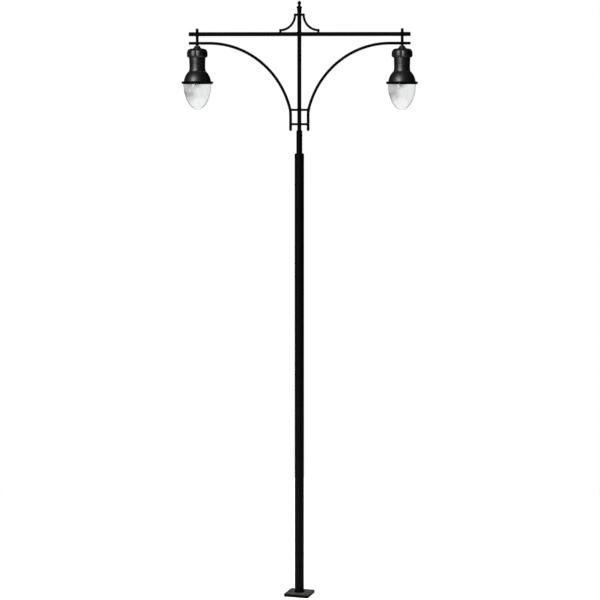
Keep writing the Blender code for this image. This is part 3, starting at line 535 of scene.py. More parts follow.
def carved(bm, cutter, operation="DIFFERENCE"):
    """bm after an exact Boolean with cutter. Both are used up."""
    made = []
    for shape in (bm, cutter):
        bmesh.ops.recalc_face_normals(shape, faces=shape.faces)
        mesh = bpy.data.meshes.new("shape")
        shape.to_mesh(mesh)
        shape.free()
        made.append(bpy.data.objects.new("shape", mesh))
        bpy.context.scene.collection.objects.link(made[-1])
    boolean = made[0].modifiers.new("carve", "BOOLEAN")
    boolean.operation = operation
    boolean.solver = "EXACT"
    boolean.object = made[1]
    bpy.context.view_layer.update()
    result = bmesh.new()
    result.from_object(made[0], bpy.context.evaluated_depsgraph_get())
    for obj in made:
        mesh = obj.data
        bpy.data.objects.remove(obj)
        bpy.data.meshes.remove(mesh)
    return result


def mirrored(side, path):
    return [Vector((side * x, 0, z)) for x, z in path]


def screw_head(bm, at, out, radius):
    """A low domed screw head with a cross recess, facing out."""
    place = pointing(at, at + out)
    lathe(bm, eased([(0, -0.001), (radius, -0.001), (radius, radius * 0.25, radius * 0.2),
                     (radius * 0.55, radius * 0.55, radius * 0.3), (radius * 0.3, radius * 0.58),
                     (radius * 0.22, radius * 0.22), (0, radius * 0.22)]), place, 20)


def screws(bm, xs, y, zs, radius):
    """Screw heads at every x and z, all facing the access door."""
    for z in zs:
        for x in xs:
            screw_head(bm, Vector((x, y, z)), ACROSS, radius)
    return bm


# Column

def base_plate():
    """The plate, turned from the line of the arms, with its cable hole and four anchor holes."""
    half, top = PLATE_HALF, PLATE_TOP
    turn = Matrix.Rotation(PLATE_TURN, 4, "Z")
    bm = slab(bmesh.new(), (-half, -half, 0), (half, half, top), 0.0018, turn, PLATE_CORNER)
    holes = bmesh.new()
    anchors = [(a, b, ANCHOR_HOLE) for a in (-ANCHOR_OUT, ANCHOR_OUT)
               for b in (-ANCHOR_OUT, ANCHOR_OUT)]
    for x, y, radius in ((0, 0, CABLE_HOLE), *anchors):
        mouth, over = radius + CHAMFER, top + SNUG
        lathe(holes, [(0, -0.01), (radius, -0.01), (radius, over - CHAMFER), (mouth, over),
                      (mouth, top + 0.01), (0, top + 0.01)], turn @ standing(x, y), SMALL)
    piece("plate", carved(bm, holes), "black_paint", "post", "base_plate")


def knuckles(bm, rows, side):
    """Rolled hinge knuckles with their leaves. side is 1 for the door and -1 for the shaft."""
    out = Vector((DOOR_PIN.x, DOOR_PIN.y, 0)).normalized()
    across = Vector((out.y, -out.x, 0))
    for low, high in rows:
        foot, head = (Vector((DOOR_PIN.x, DOOR_PIN.y, z)) for z in (low, high))
        barrel(bm, KNUCKLE_RADIUS, 0.0007, 3, foot, head)
        turn = Matrix((
            (side * across.x, out.x, 0, DOOR_PIN.x), (side * across.y, out.y, 0, DOOR_PIN.y),
            (0, 0, 1, 0), (0, 0, 0, 1),
        ))
        slab(bm, (0.0030, -0.0078, low + 0.0004), (0.0120, 0.0018, high - 0.0004), 0.0006, turn)
        slab(bm, (0.0010, -0.0038, low + 0.0008), (0.0060, 0.0022, high - 0.0008), 0.0004, turn)
    return bm


def knuckle_rows():
    """The heights of three knuckles near each end of the door: shaft, door, shaft."""
    half = (DOOR_HIGH.z - DOOR_LOW.z) / 2
    rows = []
    for sign in (-1, 1):
        middle = DOOR_MIDDLE + sign * (half - KNUCKLE_INSET)
        centres = [middle + k * KNUCKLE_PITCH for k in (-1, 0, 1)]
        rows.append([(centre - KNUCKLE_HALF, centre + KNUCKLE_HALF) for centre in centres])
    return rows


def door_block(gap):
    """A block through the shaft's wall, with the door's outline and a gap all round it."""
    half, corner = DOOR_HALF + gap, DOOR_CORNER + gap
    tall = (DOOR_HIGH.z - DOOR_LOW.z) / 2 + gap
    inside, outside = 0.02, 0.095
    made = bmesh.new()
    ring = []
    for cx, cz, first in ((1, 1, 0), (-1, 1, 90), (-1, -1, 180), (1, -1, 270)):
        middle = (cx * (half - corner), DOOR_MIDDLE + cz * (tall - corner))
        ring += arc(middle, corner, first, first + 90, 8)
    front = [made.verts.new((x, outside, z)) for x, z in ring]
    back = [made.verts.new((x, inside, z)) for x, z in ring]
    join_rings(made, front, back)
    made.faces.new(front)
    made.faces.new(back)
    return made


def tube_shape(bm, radius, wall, heights, steps=ROUND):
    outer = [(radius, z) for z in heights]
    inner = [(radius - wall, z) for z in reversed(heights)]
    return lathe(bm, [*outer, *inner], steps=steps, closed=True)


def lower_shaft():
    foot = PLATE_TOP + GAP
    door_rows = [DOOR_LOW.z - 0.03, DOOR_LOW.z - 0.008, DOOR_HIGH.z + 0.008, DOOR_HIGH.z + 0.03]
    heights = [foot, 0.30, *door_rows, 2.0, 3.5, 5.0, SHAFT_COLLAR_FOOT - GAP]
    tube = tube_shape(bmesh.new(), SHAFT_RADIUS, SHAFT_WALL, heights, FINE)
    bm = carved(tube, door_block(DOOR_GAP))
    for row in knuckle_rows():
        knuckles(bm, (row[0], row[2]), -1)
    section = ((-0.001, 0.0085), (0.0024, 0.0078), (0.0056, 0.0052), (0.0076, 0.0022), (0.0078, 0),
               (-0.001, 0))
    bead = [(SHAFT_RADIUS + out, foot + up) for out, up in section]
    lathe(bm, bead, steps=540, closed=True, warp=waved(0.0006, 90, SHAFT_RADIUS))
    piece("shaft", bm, "black_paint", "post", "lower_shaft")


def access_door():
    heights = [DOOR_LOW.z - 0.02, DOOR_LOW.z + 0.02, DOOR_MIDDLE, DOOR_HIGH.z - 0.02,
               DOOR_HIGH.z + 0.02]
    tube = tube_shape(bmesh.new(), SHAFT_RADIUS, SHAFT_WALL, heights, FINE)
    bm = carved(tube, door_block(0.0), "INTERSECT")
    for row in knuckle_rows():
        knuckles(bm, (row[1],), 1)
    piece("door", bm, "black_paint", "door", "access_door", angle=30)


def hinge_pin():
    rows, proud = knuckle_rows(), 0.0035
    low, high = rows[0][0][0] - proud, rows[1][2][1] + proud
    at = Vector((DOOR_PIN.x, DOOR_PIN.y, 0))
    bm = pin(bmesh.new(), PIN_RADIUS, at + UP * low, at + UP * high)
    piece("hinge_pin", bm, "stainless", "post", "door_hinge_pin")


def door_lock():
    """The lock's barrel with its three-sided key stud, and the tongue behind the door."""
    out = Vector(joints["door_lock_turn"]["axis"]).normalized()
    at = UP * DOOR_MIDDLE
    back, flange, face, recess = 0.0542, 0.0702, 0.0725, 0.0672
    bm = lathe(bmesh.new(), eased([
        (0, back), (0.0080, back, 0.0004), (0.0080, flange), (0.0110, flange, 0.0004),
        (0.0110, face, 0.0010), (0.0064, face, 0.0003), (0.0060, recess), (0, recess),
    ], count=3), pointing(at, at + out), SMALL)
    lathe(bm, [(0, 0.0668), (0.0036, 0.0668), (0.0036, 0.0712), (0.0032, 0.0716), (0, 0.0716)],
          pointing(at, at + out), 3)
    turn = Matrix.Translation(at) @ Matrix.Rotation(-math.atan2(out.x, out.y), 4, "Z")
    slab(bm, (-0.0078, back, -0.0078), (0.0078, back + 0.0026, 0.0298), 0.0006, turn)
    piece("lock", bm, "stainless", "lock", "door_lock")


def column_tubes():
    for name, node, outer, inner, top, foot in (
        ("shaft_ring", "shaft_collar", SHAFT_RADIUS, SLEEVE_RADIUS, SHAFT_TOP, SHAFT_COLLAR_FOOT),
        ("sleeve_ring", "sleeve_collar", SLEEVE_RADIUS, MAST_RADIUS, SLEEVE_TOP,
         SLEEVE_COLLAR_FOOT),
    ):
        inner += SNUG
        bm = turned_ring([
            (inner, top), (outer - 0.0060, top, 0.0030), (outer, top - 0.0060, 0.0030),
            (outer, foot, 0.0004), (inner, foot),
        ])
        bead = eased([(inner, top + 0.0035), (inner + 0.0035, top + 0.0022, 0.0012),
                      (inner + 0.0048, top - SNUG), (inner, top - SNUG)])
        lathe(bm, bead, steps=420, closed=True, warp=waved(0.0004, 70, inner + 0.001))
        piece(name, bm, "black_paint", "post", node)
    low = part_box("bracket_sleeve")[0].z
    bm = tube_shape(bmesh.new(), SLEEVE_RADIUS, SLEEVE_WALL, [low, SLEEVE_COLLAR_FOOT - GAP])
    piece("sleeve", bm, "black_paint", "post", "bracket_sleeve")
    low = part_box("mast")[0].z
    bm = tube_shape(bmesh.new(), MAST_RADIUS, MAST_WALL, [low, 7.2, 7.8, 8.3, MAST_TOP])
    piece("mast_tube", bm, "black_paint", "post", "mast")


def finial():
    foot, top = (corner.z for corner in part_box("finial"))
    ball = arc((0, BALL_HEIGHT), BALL_RADIUS, 62, -48, 16)
    outline = eased([
        (0, top), (0.0018, top, 0.0008), (0.0046, 8.892), (0.0078, 8.8862), *ball,
        (0.0170, 8.826, 0.004), (0.0200, 8.818, 0.004), (0.0355, 8.8065, 0.0015),
        (0.0405, 8.8010, 0.0020), (0.0405, 8.7890, 0.0020), (0.0345, 8.7800, 0.0030),
        (0.0328, 8.7500, 0.0100), (MAST_RADIUS, MAST_TOP + GAP), (0.0268, MAST_TOP + GAP),
        (0.0268, foot, 0.001), (0, foot),
    ], count=3)
    piece("finial_cap", lathe(bmesh.new(), outline), "black_paint", "post", "finial")


def equipment_board():
    low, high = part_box("equipment_board")
    bm = slab(bmesh.new(), low, high, 0.0008)
    screws(bm, (-0.045, 0.045), high.y, (low.z + 0.015, high.z - 0.015), 0.0042)
    piece("board", bm, "insulating_board", "post", "equipment_board")


def breaker():
    low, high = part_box("breaker_box")
    body = slab(bmesh.new(), low, (high.x, BREAKER_FACE, high.z), 0.0016)
    nose = slab(bmesh.new(), (-0.018, 0.020, 0.812), (0.018, high.y, 0.858), 0.0012)
    slot_block = slab(bmesh.new(), (-0.0055, 0.018, 0.8180), (0.0055, 0.060, 0.8520), 0.0004)
    bm = carved(carved(body, nose, "UNION"), slot_block)
    screws(bm, (-0.0135, 0.0135), BREAKER_FACE, (low.z + 0.009, high.z - 0.009), 0.0036)
    piece("breaker", bm, "grey_plastic", "post", "breaker_box")


def toggle():
    """A drum on the toggle's pivot with a lever that leans up."""
    pivot = Vector(joints["breaker_toggle_pivot"]["pos_m"])
    aside = Vector((0.005, 0, 0))
    bm = pin(bmesh.new(), 0.0089, pivot - aside, pivot + aside, SMALL)
    lean = Matrix.Translation(pivot) @ Matrix.Rotation(math.radians(30), 4, "X")
    slab(bm, (-0.0044, 0.002, -0.0024), (0.0044, 0.0174, 0.0024), 0.0009, lean)
    piece("toggle_lever", bm, "dark_plastic", "toggle", "breaker_toggle")


def terminals():
    low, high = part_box("terminal_block")
    bm = slab(bmesh.new(), low, high, 0.0012)
    wells = bmesh.new()
    for x in TERMINAL_PLACES:
        at = Vector((x, 0.006, TERMINAL_HEIGHT))
        pin(wells, 0.0042, at, at + ACROSS * 0.03, 24)
    bm = carved(bm, wells)
    for x in (-0.01475, 0.0, 0.01475):
        slab(bm, (x - 0.0008, high.y - 0.001, low.z + 0.001),
             (x + 0.0008, high.y + 0.001, high.z - 0.001), 0.0003)
    piece("terminals", bm, "insulating_board", "post", "terminal_block")
    bm = screws(bmesh.new(), TERMINAL_PLACES, 0.0062, (TERMINAL_HEIGHT,), 0.0036)
    piece("terminal_screws", bm, "brass", "post")


def earth_terminal():
    low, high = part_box("earth_stud")
    middle = (low + high) / 2
    start, end = Vector((middle.x, low.y, middle.z)), Vector((middle.x, high.y, middle.z))
    thread = [(0.0050 if k % 2 else 0.0045, 0.008 + k * 0.0005) for k in range(23)]
    bm = lathe(bmesh.new(), [(0, 0), (0.005, 0), *thread, (0.0040, high.y - low.y),
                             (0, high.y - low.y)], pointing(start, end), COARSE)
    nut = [(0, 0.0030), (0.0092, 0.0030, 0.0006), (0.0092, 0.0105, 0.0012), (0, 0.0105)]
    lathe(bm, eased(nut), pointing(start, end), 6)
    piece("earth_terminal", bm, "brass", "post", "earth_stud", angle=25)


# Arms, brackets and scrolls

def cross_arm(side, name):
    direction, middle = Vector((side, 0, 0)), UP * ARM_HEIGHT
    bm = lathe(bmesh.new(), [(ARM_RADIUS, x) for x in (0.012, 0.4, 0.8, 1.2, ARM_END - 0.0028)],
               pointing(middle, middle + direction), MIDDLING)
    weld(bm, middle, UP, direction, MAST_RADIUS, ARM_RADIUS)
    for up in (-1, 1):
        weld(bm, direction * STEM_REACH + middle, (1, 0, 0), (0, 0, up), ARM_RADIUS, STEM_RADIUS,
             0.0030)
    piece(name + "_arm", bm, "black_paint", "post", name + "_cross_arm")

    bm = turned([
        (0, ARM_END), (ARM_RADIUS - 0.0016, ARM_END, 0.0018),
        (ARM_RADIUS, ARM_END - 0.0022, 0.0006),
        (ARM_RADIUS, ARM_END - 0.0026), (ARM_RADIUS - 0.0034, ARM_END - 0.0026),
        (ARM_RADIUS - 0.0034, ARM_END - 0.0178), (0, ARM_END - 0.0178),
    ], pointing(middle, middle + direction), MIDDLING)
    piece(name + "_arm_end", bm, "black_paint", "post", name + "_arm_cap")


def stem(side, name):
    foot, top = (corner.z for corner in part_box(name + "_stem"))
    r, inner, roof = STEM_RADIUS, STEM_RADIUS - STEM_WALL, top - 0.010
    bm = turned([
        (0, top), (r - 0.006, top - 0.0008, 0.004), (r, top - 0.0065, 0.004), (r, foot),
        (inner, foot), (inner, roof), (0, roof),
    ], standing(side * STEM_REACH), MIDDLING)
    piece(name + "_drop", bm, "black_paint", "post", name + "_stem")


def bracket_line(side):
    """The centre line up the leg, round the knee and along the sweep, level at its end."""
    low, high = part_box("right_curved_bracket")
    radius = -low.y
    level = high.z - radius
    leg = low.x + radius
    turn_in = math.radians(KNEE_TURN)
    middle_x = KNEE_RADIUS * (1 - math.cos(turn_in)) + SWEEP_RADIUS * math.cos(turn_in)
    knee_z = level - SWEEP_RADIUS + (SWEEP_RADIUS - KNEE_RADIUS) * math.sin(turn_in)
    bends = [
        *arc((KNEE_RADIUS, knee_z), KNEE_RADIUS, 180, 180 - KNEE_TURN, 12)[:-1],
        *arc((middle_x, level - SWEEP_RADIUS), SWEEP_RADIUS, 180 - KNEE_TURN, 90, 56),
    ]
    path = [
        (leg, low.z), (leg, low.z + 0.05), (leg, (low.z + knee_z) / 2),
        *((leg + x * BEND_SQUEEZE, z) for x, z in bends),
    ]
    return mirrored(side, path), radius, level, leg


def bracket(side, name):
    path, radius, level, _ = bracket_line(side)
    inside_stem = STEM_RADIUS * 0.4
    dome = [(0.42, 0.0004), (0.72, 0.0026), (0.92, 0.0075), (1.0, 0.0130)]
    line = [path[0] + UP * rise for _, rise in dome] + path[1:]
    line.append(Vector((side * (STEM_REACH - inside_stem), 0, level)))
    radii = [share * radius for share, _ in dome] + [radius] * len(path)
    bm = sweep(bmesh.new(), line, radii, ACROSS, 40)
    at = Vector((side * STEM_REACH, 0, level))
    weld(bm, at, UP, (-side, 0, 0), STEM_RADIUS, radius * 0.97, 0.0030)
    piece(name + "_bracket", bm, "black_paint", "post", name + "_curved_bracket")

    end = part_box("right_bracket_stub")[1].x
    direction = Vector((side, 0, 0))
    bm = turned([
        (0, end), (radius - 0.002, end, 0.0015), (radius, end - 0.003, 0.0015),
        (radius, STEM_REACH + inside_stem), (0, STEM_REACH + inside_stem),
    ], pointing(UP * level, UP * level + direction), MIDDLING)
    weld(bm, at, UP, direction, STEM_RADIUS, radius * 0.97, 0.0030)
    piece(name + "_stub", bm, "black_paint", "post", name + "_bracket_stub")


def ties(side, name):
    _, radius, _, leg = bracket_line(side)
    for level in ("lower", "upper"):
        node = f"{name}_{level}_tie"
        low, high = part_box(node)
        tie = (high.z - low.z) / 2
        height = (high.z + low.z) / 2
        at = UP * height
        direction = Vector((side, 0, 0))
        bm = lathe(bmesh.new(), [(tie, MAST_RADIUS * 0.7), (tie, leg + 0.002)],
                   pointing(at, at + direction), SMALL)
        weld(bm, at, UP, direction, MAST_RADIUS, tie, 0.0030)
        weld(bm, at + direction * leg, UP, -direction, radius, tie, 0.0030)
        piece(f"{name}_{level}_rung", bm, "black_paint", "post", node)


def scroll(side, name):
    low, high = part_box("right_scroll")
    radius, sides = (high.y - low.y) / 2, 28
    level = SCROLL_TOP - SCROLL_SWEEP
    bend = arc((SCROLL_SWEEP, SCROLL_TOP), SCROLL_SWEEP, 180, 270, 40)
    path = mirrored(side, [(SCROLL_REACH + x * BEND_SQUEEZE, z) for x, z in bend])
    bm = sweep(bmesh.new(), path, radius, ACROSS, sides)
    at, direction = UP * SCROLL_TOP, Vector((side, 0, 0))
    lathe(bm, [(radius * 0.98, MAST_RADIUS * 0.7), (radius * 0.98, SCROLL_REACH)],
          pointing(at, at + direction), sides)
    end = path[-1]
    for elbow, swell, widened in ((path[0], 1.06, 1.0), (end, 1.04, 1.15)):
        ball = arc((0, 0), radius * swell, 90, -90, 12)
        lathe(bm, [(max(r, 0.0), z) for r, z in ball],
              Matrix.Translation(elbow) @ Matrix.Diagonal((widened, 1, 1, 1)), sides)
    weld(bm, at, UP, direction, MAST_RADIUS, radius, 0.0026)
    foot = Vector((end.x, 0, ARM_HEIGHT))
    lathe(bm, [(radius * 0.92, ARM_RADIUS * 0.8), (radius * 0.92, level - ARM_HEIGHT)],
          pointing(foot, foot + UP), sides)
    weld(bm, foot, (1, 0, 0), (0, 0, 1), ARM_RADIUS, radius * 0.92, 0.0026)
    piece(name + "_scroll_bar", bm, "black_paint", "post", name + "_scroll")


# Lantern

LOBES = 6
LOBE_DEPTH = 0.10
LOBES_START = 0.070
CAP_RADIUS = 0.153
SCALLOP = 0.012
SKIRT_TOP = 8.110
SKIRT_FALL = 0.040
NECK_RADIUS = 0.1172
SEAM = 7.974
HUB_SEAT = 8.1985
RIM_BARREL = 0.006
EAR_HALF = 0.012
EAR_END = -0.2555
BOWL_WALL = 0.004
BOWL_RADIUS = 0.205
BOWL_TOP = 7.6849
FLUTE_TOP = 7.68


def lobed(radius, height, turn):
    """Draws the cap's side in between its lobes, and scallops its lower edge."""
    lobe = abs(math.cos(LOBES * turn / 2)) ** 0.8
    outward = min(1.0, max(0.0, (radius - LOBES_START) / (CAP_RADIUS - LOBES_START)))
    lower = max(0.0, (SKIRT_TOP - height) / SKIRT_FALL)
    drawn = radius * (1 - LOBE_DEPTH * (1 - lobe) * outward)
    return drawn, height + SCALLOP * lower * (lobe - 0.6)


def fluted(radius, height, turn):
    """Shallow upright flutes inside the bowl, fading out towards its bottom."""
    if height > FLUTE_TOP:
        return radius, height
    return radius - 0.0004 * (1 + math.cos(60 * turn)) * min(1.0, radius / 0.1), height


def ribbed(radius, height, turn):
    """Ribs round the outside of the lampholder."""
    if radius <= 0.029:
        return radius, height
    return radius - 0.0007 * (0.5 + 0.5 * math.cos(16 * turn)), height


def faceted(radius, height, turn):
    """The reflector's facets, fading out towards its hole."""
    return radius - 0.0010 * abs(math.sin(18 * turn)) * min(1.0, radius / 0.12), height


def lantern_hub(name, place):
    low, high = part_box(name + "_lantern_hub")
    seat = HUB_SEAT
    r = STEM_RADIUS + SNUG
    bm = turned_ring([
        (r, high.z), (0.0340, high.z, 0.0020), (0.0390, high.z - 0.006, 0.0030),
        (0.0415, high.z - 0.016, 0.0060), (0.0600, seat + 0.0030, 0.0020), (0.0610, seat, 0.0006),
        (0.0258, seat), (0.0258, low.z), (0.0122, low.z), (0.0122, seat - 0.01), (r, seat - 0.01),
    ], place)
    piece(name + "_hub", bm, "lantern_paint", "post", name + "_lantern_hub")


def lantern_cap(name, place):
    crown = flowing([(0.0265, 8.1980), (0.0560, 8.1982), (0.0900, 8.1968), (0.1180, 8.1895),
                     (0.1400, 8.1720), (0.1505, 8.1460), (0.1532, 8.1120), (0.1526, 8.0880),
                     (0.1455, 8.0680)], 4)
    bm = lathe(bmesh.new(), shell(crown, 0.003), place, 192, True, lobed)
    piece(name + "_cap", bm, "lantern_paint", "post", name + "_vent_cap", angle=60)


def lantern_neck(name, place):
    low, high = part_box(name + "_lantern_neck")
    bm = turned_ring([
        (0.0263, high.z), (0.0980, high.z, 0.004), (0.1050, high.z - 0.0040, 0.003),
        (0.1170, high.z - 0.0160, 0.008), (0.1215, 8.0700, 0.020), (0.1182, SEAM + 0.0016, 0.0010),
        (0.1165, SEAM + 0.0008), (0.1165, SEAM - 0.0008), (0.1180, SEAM - 0.0016, 0.0010),
        (0.1172, 7.9500, 0.015), (0.1170, 7.9060, 0.012), (0.1222, 7.8760, 0.008), (0.1222, low.z),
        (0.1185, low.z), (0.1185, 7.8770), (0.1134, 7.9060), (0.1134, 7.9640),
        (0.1040, 7.9715), (0.1040, 7.9755), (0.1138, 7.9755), (0.1175, 8.0700),
        (0.1140, high.z - 0.0180), (0.1000, high.z - 0.0035), (0.0263, high.z - 0.0035),
    ], place, FINE)
    for k in range(4):
        turn = math.radians(20 + 90 * k)
        out = Vector((math.cos(turn), math.sin(turn), 0))
        at = place.translation + UP * (SEAM - 0.014) + out * NECK_RADIUS
        screw_head(bm, at, out, 0.0045)
    piece(name + "_neck", bm, "lantern_paint", "post", name + "_lantern_neck")


def lantern_bell(name, place):
    """The canopy, with the two barrels of the rim's hinge and the slotted ear for its latch."""
    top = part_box(name + "_canopy")[1].z
    bell = flowing([
        (0.1222, top), (0.1350, 7.8560), (0.1580, 7.8280), (0.1760, 7.7980),
        (0.1885, 7.7680), (0.1970, 7.7380),
    ], 5)
    brim = eased([(0.1985, 7.7280), (0.2008, 7.7190, 0.004), (0.2075, 7.7125, 0.004),
                  (0.2160, 7.7123)])
    bm = lathe(bmesh.new(), shell([(0.100, top), *bell, *brim], 0.003), place, FINE, True)
    pivot, half = rim_pivot(place), 0.0048
    for x in (-0.0140, 0.0140):
        slab(bm, (x - 0.005, 0.1975, 7.7182), (x + 0.005, RIM_PIVOT.y, 7.7275), 0.0008, place)
        barrel(bm, RIM_BARREL, 0.0005, 4, pivot + Vector((x - half, 0, 0)),
               pivot + Vector((x + half, 0, 0)))
    ear = slab(bmesh.new(), (-EAR_HALF, EAR_END, 7.7182), (EAR_HALF, -0.1975, 7.7240), 0.0010, place)
    slot = slab(bmesh.new(), (-0.0085, LATCH_REACH - 0.0048, 7.70),
                (0.0085, LATCH_REACH + 0.0048, 7.75), 0.0006, place)
    merged(bm, carved(ear, slot))
    piece(name + "_bell", bm, "lantern_paint", "post", name + "_canopy")


def rim_pivot(place):
    return place.translation + Vector((0, RIM_PIVOT.y, RIM_PIVOT.z))


def rim_ring(name, place):
    """The ring that holds the bowl, with its hinge's middle barrel and the ear for its latch."""
    bm = turned_ring([
        (0.2220, 7.7160, 0.0010), (0.2335, 7.7065, 0.004), (0.2375, 7.7035, 0.0012),
        (0.2355, 7.6985, 0.0020), (0.2285, 7.6850, 0.004), (0.2200, 7.6760, 0.002),
        (0.2075, 7.6760, 0.0006), (0.2075, 7.6960), (0.2190, 7.6960), (0.2190, 7.7160, 0.0006),
    ], place, FINE)
    slab(bm, (-0.0080, 0.2240, 7.7060), (0.0080, RIM_PIVOT.y + 0.003, 7.7240), 0.0010, place)
    pivot, half = rim_pivot(place), Vector((0.0078, 0, 0))
    barrel(bm, RIM_BARREL, 0.0005, 4, pivot - half, pivot + half)
    ear = slab(bmesh.new(), (-EAR_HALF, EAR_END, 7.7040), (EAR_HALF, -0.2230, 7.7130), 0.0010, place)
    at = place.translation + ACROSS * LATCH_REACH
    hole = pin(bmesh.new(), 0.0044, at + UP * 7.69, at + UP * 7.73)
    merged(bm, carved(ear, hole))
    piece(name + "_ring", bm, "black_paint", name + "_rim", name + "_rim_ring")

    aside = Vector((0.0215, 0, 0))
    bm = pin(bmesh.new(), PIN_RADIUS, pivot - aside, pivot + aside)
    piece(name + "_ring_pin", bm, "stainless", "post", name + "_rim_hinge_pin")


def rim_latch(name, place):
    place = place @ standing(0, LATCH_REACH)
    bm = lathe(bmesh.new(), eased([
        (0, 7.6860), (0.0062, 7.6860, 0.001), (0.0073, 7.6875, 0.0006), (0.0073, 7.6985, 0.0006),
        (0.0062, 7.7000, 0.0006), (0.0040, 7.7000), (0.0040, 7.7282, 0.0004), (0, 7.7284),
    ]), place, 120, warp=waved(0.0004, 30, 0.0070))
    slab(bm, (-0.0070, -0.0020, 7.7250), (0.0070, 0.0020, 7.7280), 0.0005, place)
    piece(name + "_latch_knob", bm, "black_paint", name + "_latch", name + "_rim_latch")


def bowl(name, place):
    """The glass: half an ellipse in section, with a lip that the ring holds."""
    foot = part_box(name + "_bowl")[0].z
    depth, steps = BOWL_TOP - foot, 240
    turns = [math.pi / 2 * k / 30 for k in range(30)]
    outer, inner = (
        [((BOWL_RADIUS - wall) * math.cos(a), BOWL_TOP - (depth - wall) * math.sin(a))
         for a in turns]
        for wall in (0.0, BOWL_WALL)
    )
    lip = (BOWL_RADIUS - BOWL_WALL, 7.7013)
    bm = lathe(bmesh.new(), [(0, foot + BOWL_WALL), *reversed(inner), lip], place, steps,
               warp=fluted)
    lathe(bm, [lip, (0.2170, 7.7013), (0.2170, 7.6963), (BOWL_RADIUS, 7.6963), *outer, (0, foot)],
          place, steps)
    bmesh.ops.remove_doubles(bm, verts=bm.verts, dist=1e-6)
    piece(name + "_glass", bm, "clear_bowl", name + "_rim", name + "_bowl")


def bowl_gasket(name, place):
    bm = turned_ring([
        (0.2155, 7.7088, 0.0015), (0.2155, 7.7018, 0.0010), (0.2035, 7.7018, 0.0010),
        (0.2035, 7.7088, 0.0015),
    ], place, FINE)
    piece(name + "_seal", bm, "rubber", name + "_rim", name + "_bowl_gasket")


def gear_tray(name, place):
    low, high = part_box(name + "_gear_tray")
    bm = turned_ring([
        (0.1118, high.z, 0.0006), (0.1118, low.z, 0.0006), (0.0100, low.z), (0.0100, high.z),
    ], place)
    for k in range(3):
        turn = math.radians(90 + 120 * k)
        at = place.translation + Vector((0.095 * math.cos(turn), 0.095 * math.sin(turn), low.z))
        screw_head(bm, at, -UP, 0.0045)
    piece(name + "_tray", bm, "zinc_steel", "post", name + "_gear_tray")


def ballast(name):
    """A footed choke with twelve fins of laminations."""
    low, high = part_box(name + "_ballast")
    bm = slab(bmesh.new(), low, (high.x, high.y - 0.005, low.z + 0.005), 0.0008)
    start, end = low.x + 0.010, high.x - 0.004
    slab(bm, (start + 0.006, low.y + 0.003, low.z), (end - 0.006, high.y - 0.003, high.z), 0.0015)
    for k in range(12):
        x = start + 0.002 + k * 0.0048
        slab(bm, (x, low.y, low.z + 0.016), (x + 0.0036, high.y, high.z - 0.012), 0.0005)
    piece(name + "_choke", bm, "ballast_paint", "post", name + "_ballast")


def lampholder(name, place):
    low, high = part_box(name + "_lampholder")
    bm = turned_ring([
        (0.0298, high.z, 0.001), (0.0298, low.z + 0.006, 0.003), (0.0275, low.z, 0.002),
        (0.0217, low.z, 0.001), (0.0217, high.z - 0.012), (0.0062, high.z - 0.012),
        (0.0062, high.z),
    ], place, FINE, ribbed)
    piece(name + "_holder", bm, "porcelain", "post", name + "_lampholder")


def lamp(name, place):
    """The screw cap, its thread as stacked rings, and the bulb."""
    low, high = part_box(name + "_lamp")
    thread = [(0.0190 if k % 2 else 0.0180, 7.9500 - k * 0.0024) for k in range(18)]
    bm = lathe(bmesh.new(), [(0, high.z), (0.0060, high.z - 0.0006), (0.0085, high.z - 0.003),
                             (0.0150, high.z - 0.007), *thread, (0.0188, 7.9040), (0, 7.9040)],
               place, MIDDLING)
    piece(name + "_lamp_cap", bm, "brass", "post")
    glass = flowing([
        (0.0186, 7.9045), (0.0200, 7.8960), (0.0210, 7.8800), (0.0235, 7.8500), (0.0285, 7.8080),
        (0.0340, 7.7680), (0.0372, 7.7250), (0.0365, 7.6900), (0.0315, 7.6560), (0.0220, 7.6320),
        (0.0110, 7.6210), (0.0, low.z),
    ], 5)
    bm = lathe(bmesh.new(), [(0, 7.9045), *[(max(r, 0.0), z) for r, z in glass]], place, MIDDLING)
    piece(name + "_lamp_bulb", bm, "lamp_glass", "post", name + "_lamp")


def reflector(name, place):
    dish = flowing([(0.0420, 7.8560), (0.0800, 7.8552), (0.1120, 7.8500), (0.1400, 7.8230),
                    (0.1660, 7.7860), (0.1860, 7.7360)], 4)
    bm = lathe(bmesh.new(), shell(dish, 0.0015), place, 216, True, faceted)
    piece(name + "_dish", bm, "reflector_metal", "post", name + "_reflector", angle=50)


def lantern(side, name):
    place = standing(side * STEM_REACH)
    lantern_hub(name, place)
    lantern_cap(name, place)
    lantern_neck(name, place)
    lantern_bell(name, place)
    rim_ring(name, place)
    rim_latch(name, place)
    bowl(name, place)
    bowl_gasket(name, place)
    gear_tray(name, place)
    ballast(name)
    lampholder(name, place)
    lamp(name, place)
    reflector(name, place)


# Studio

FLOOR_RADIUS = 9.0
ROOM = (0.03, 0.004)
THROUGH_GLASS = 0.93


def bearing(turn, rise):
    """The direction from the object to a place turned round from the front and raised."""
    level = math.cos(rise)
    return Vector((math.sin(turn) * level, -math.cos(turn) * level, math.sin(rise)))


def sun(name, energy, spread, azimuth, elevation, glints=True):
    """A soft light far off. Its azimuth is measured from the front, round to the right."""
    light = bpy.data.lights.new(name, "SUN")
    light.energy = energy
    light.angle = math.radians(spread)
    lamp = bpy.data.objects.new(name, light)
    lamp.visible_glossy = glints
    lamp.visible_transmission = False
    back = bearing(math.radians(azimuth), math.radians(elevation))
    lamp.rotation_mode = "QUATERNION"
    lamp.rotation_quaternion = back.to_track_quat("Z", "Y")
    lamp.location = back * 20
    bpy.context.scene.collection.objects.link(lamp)


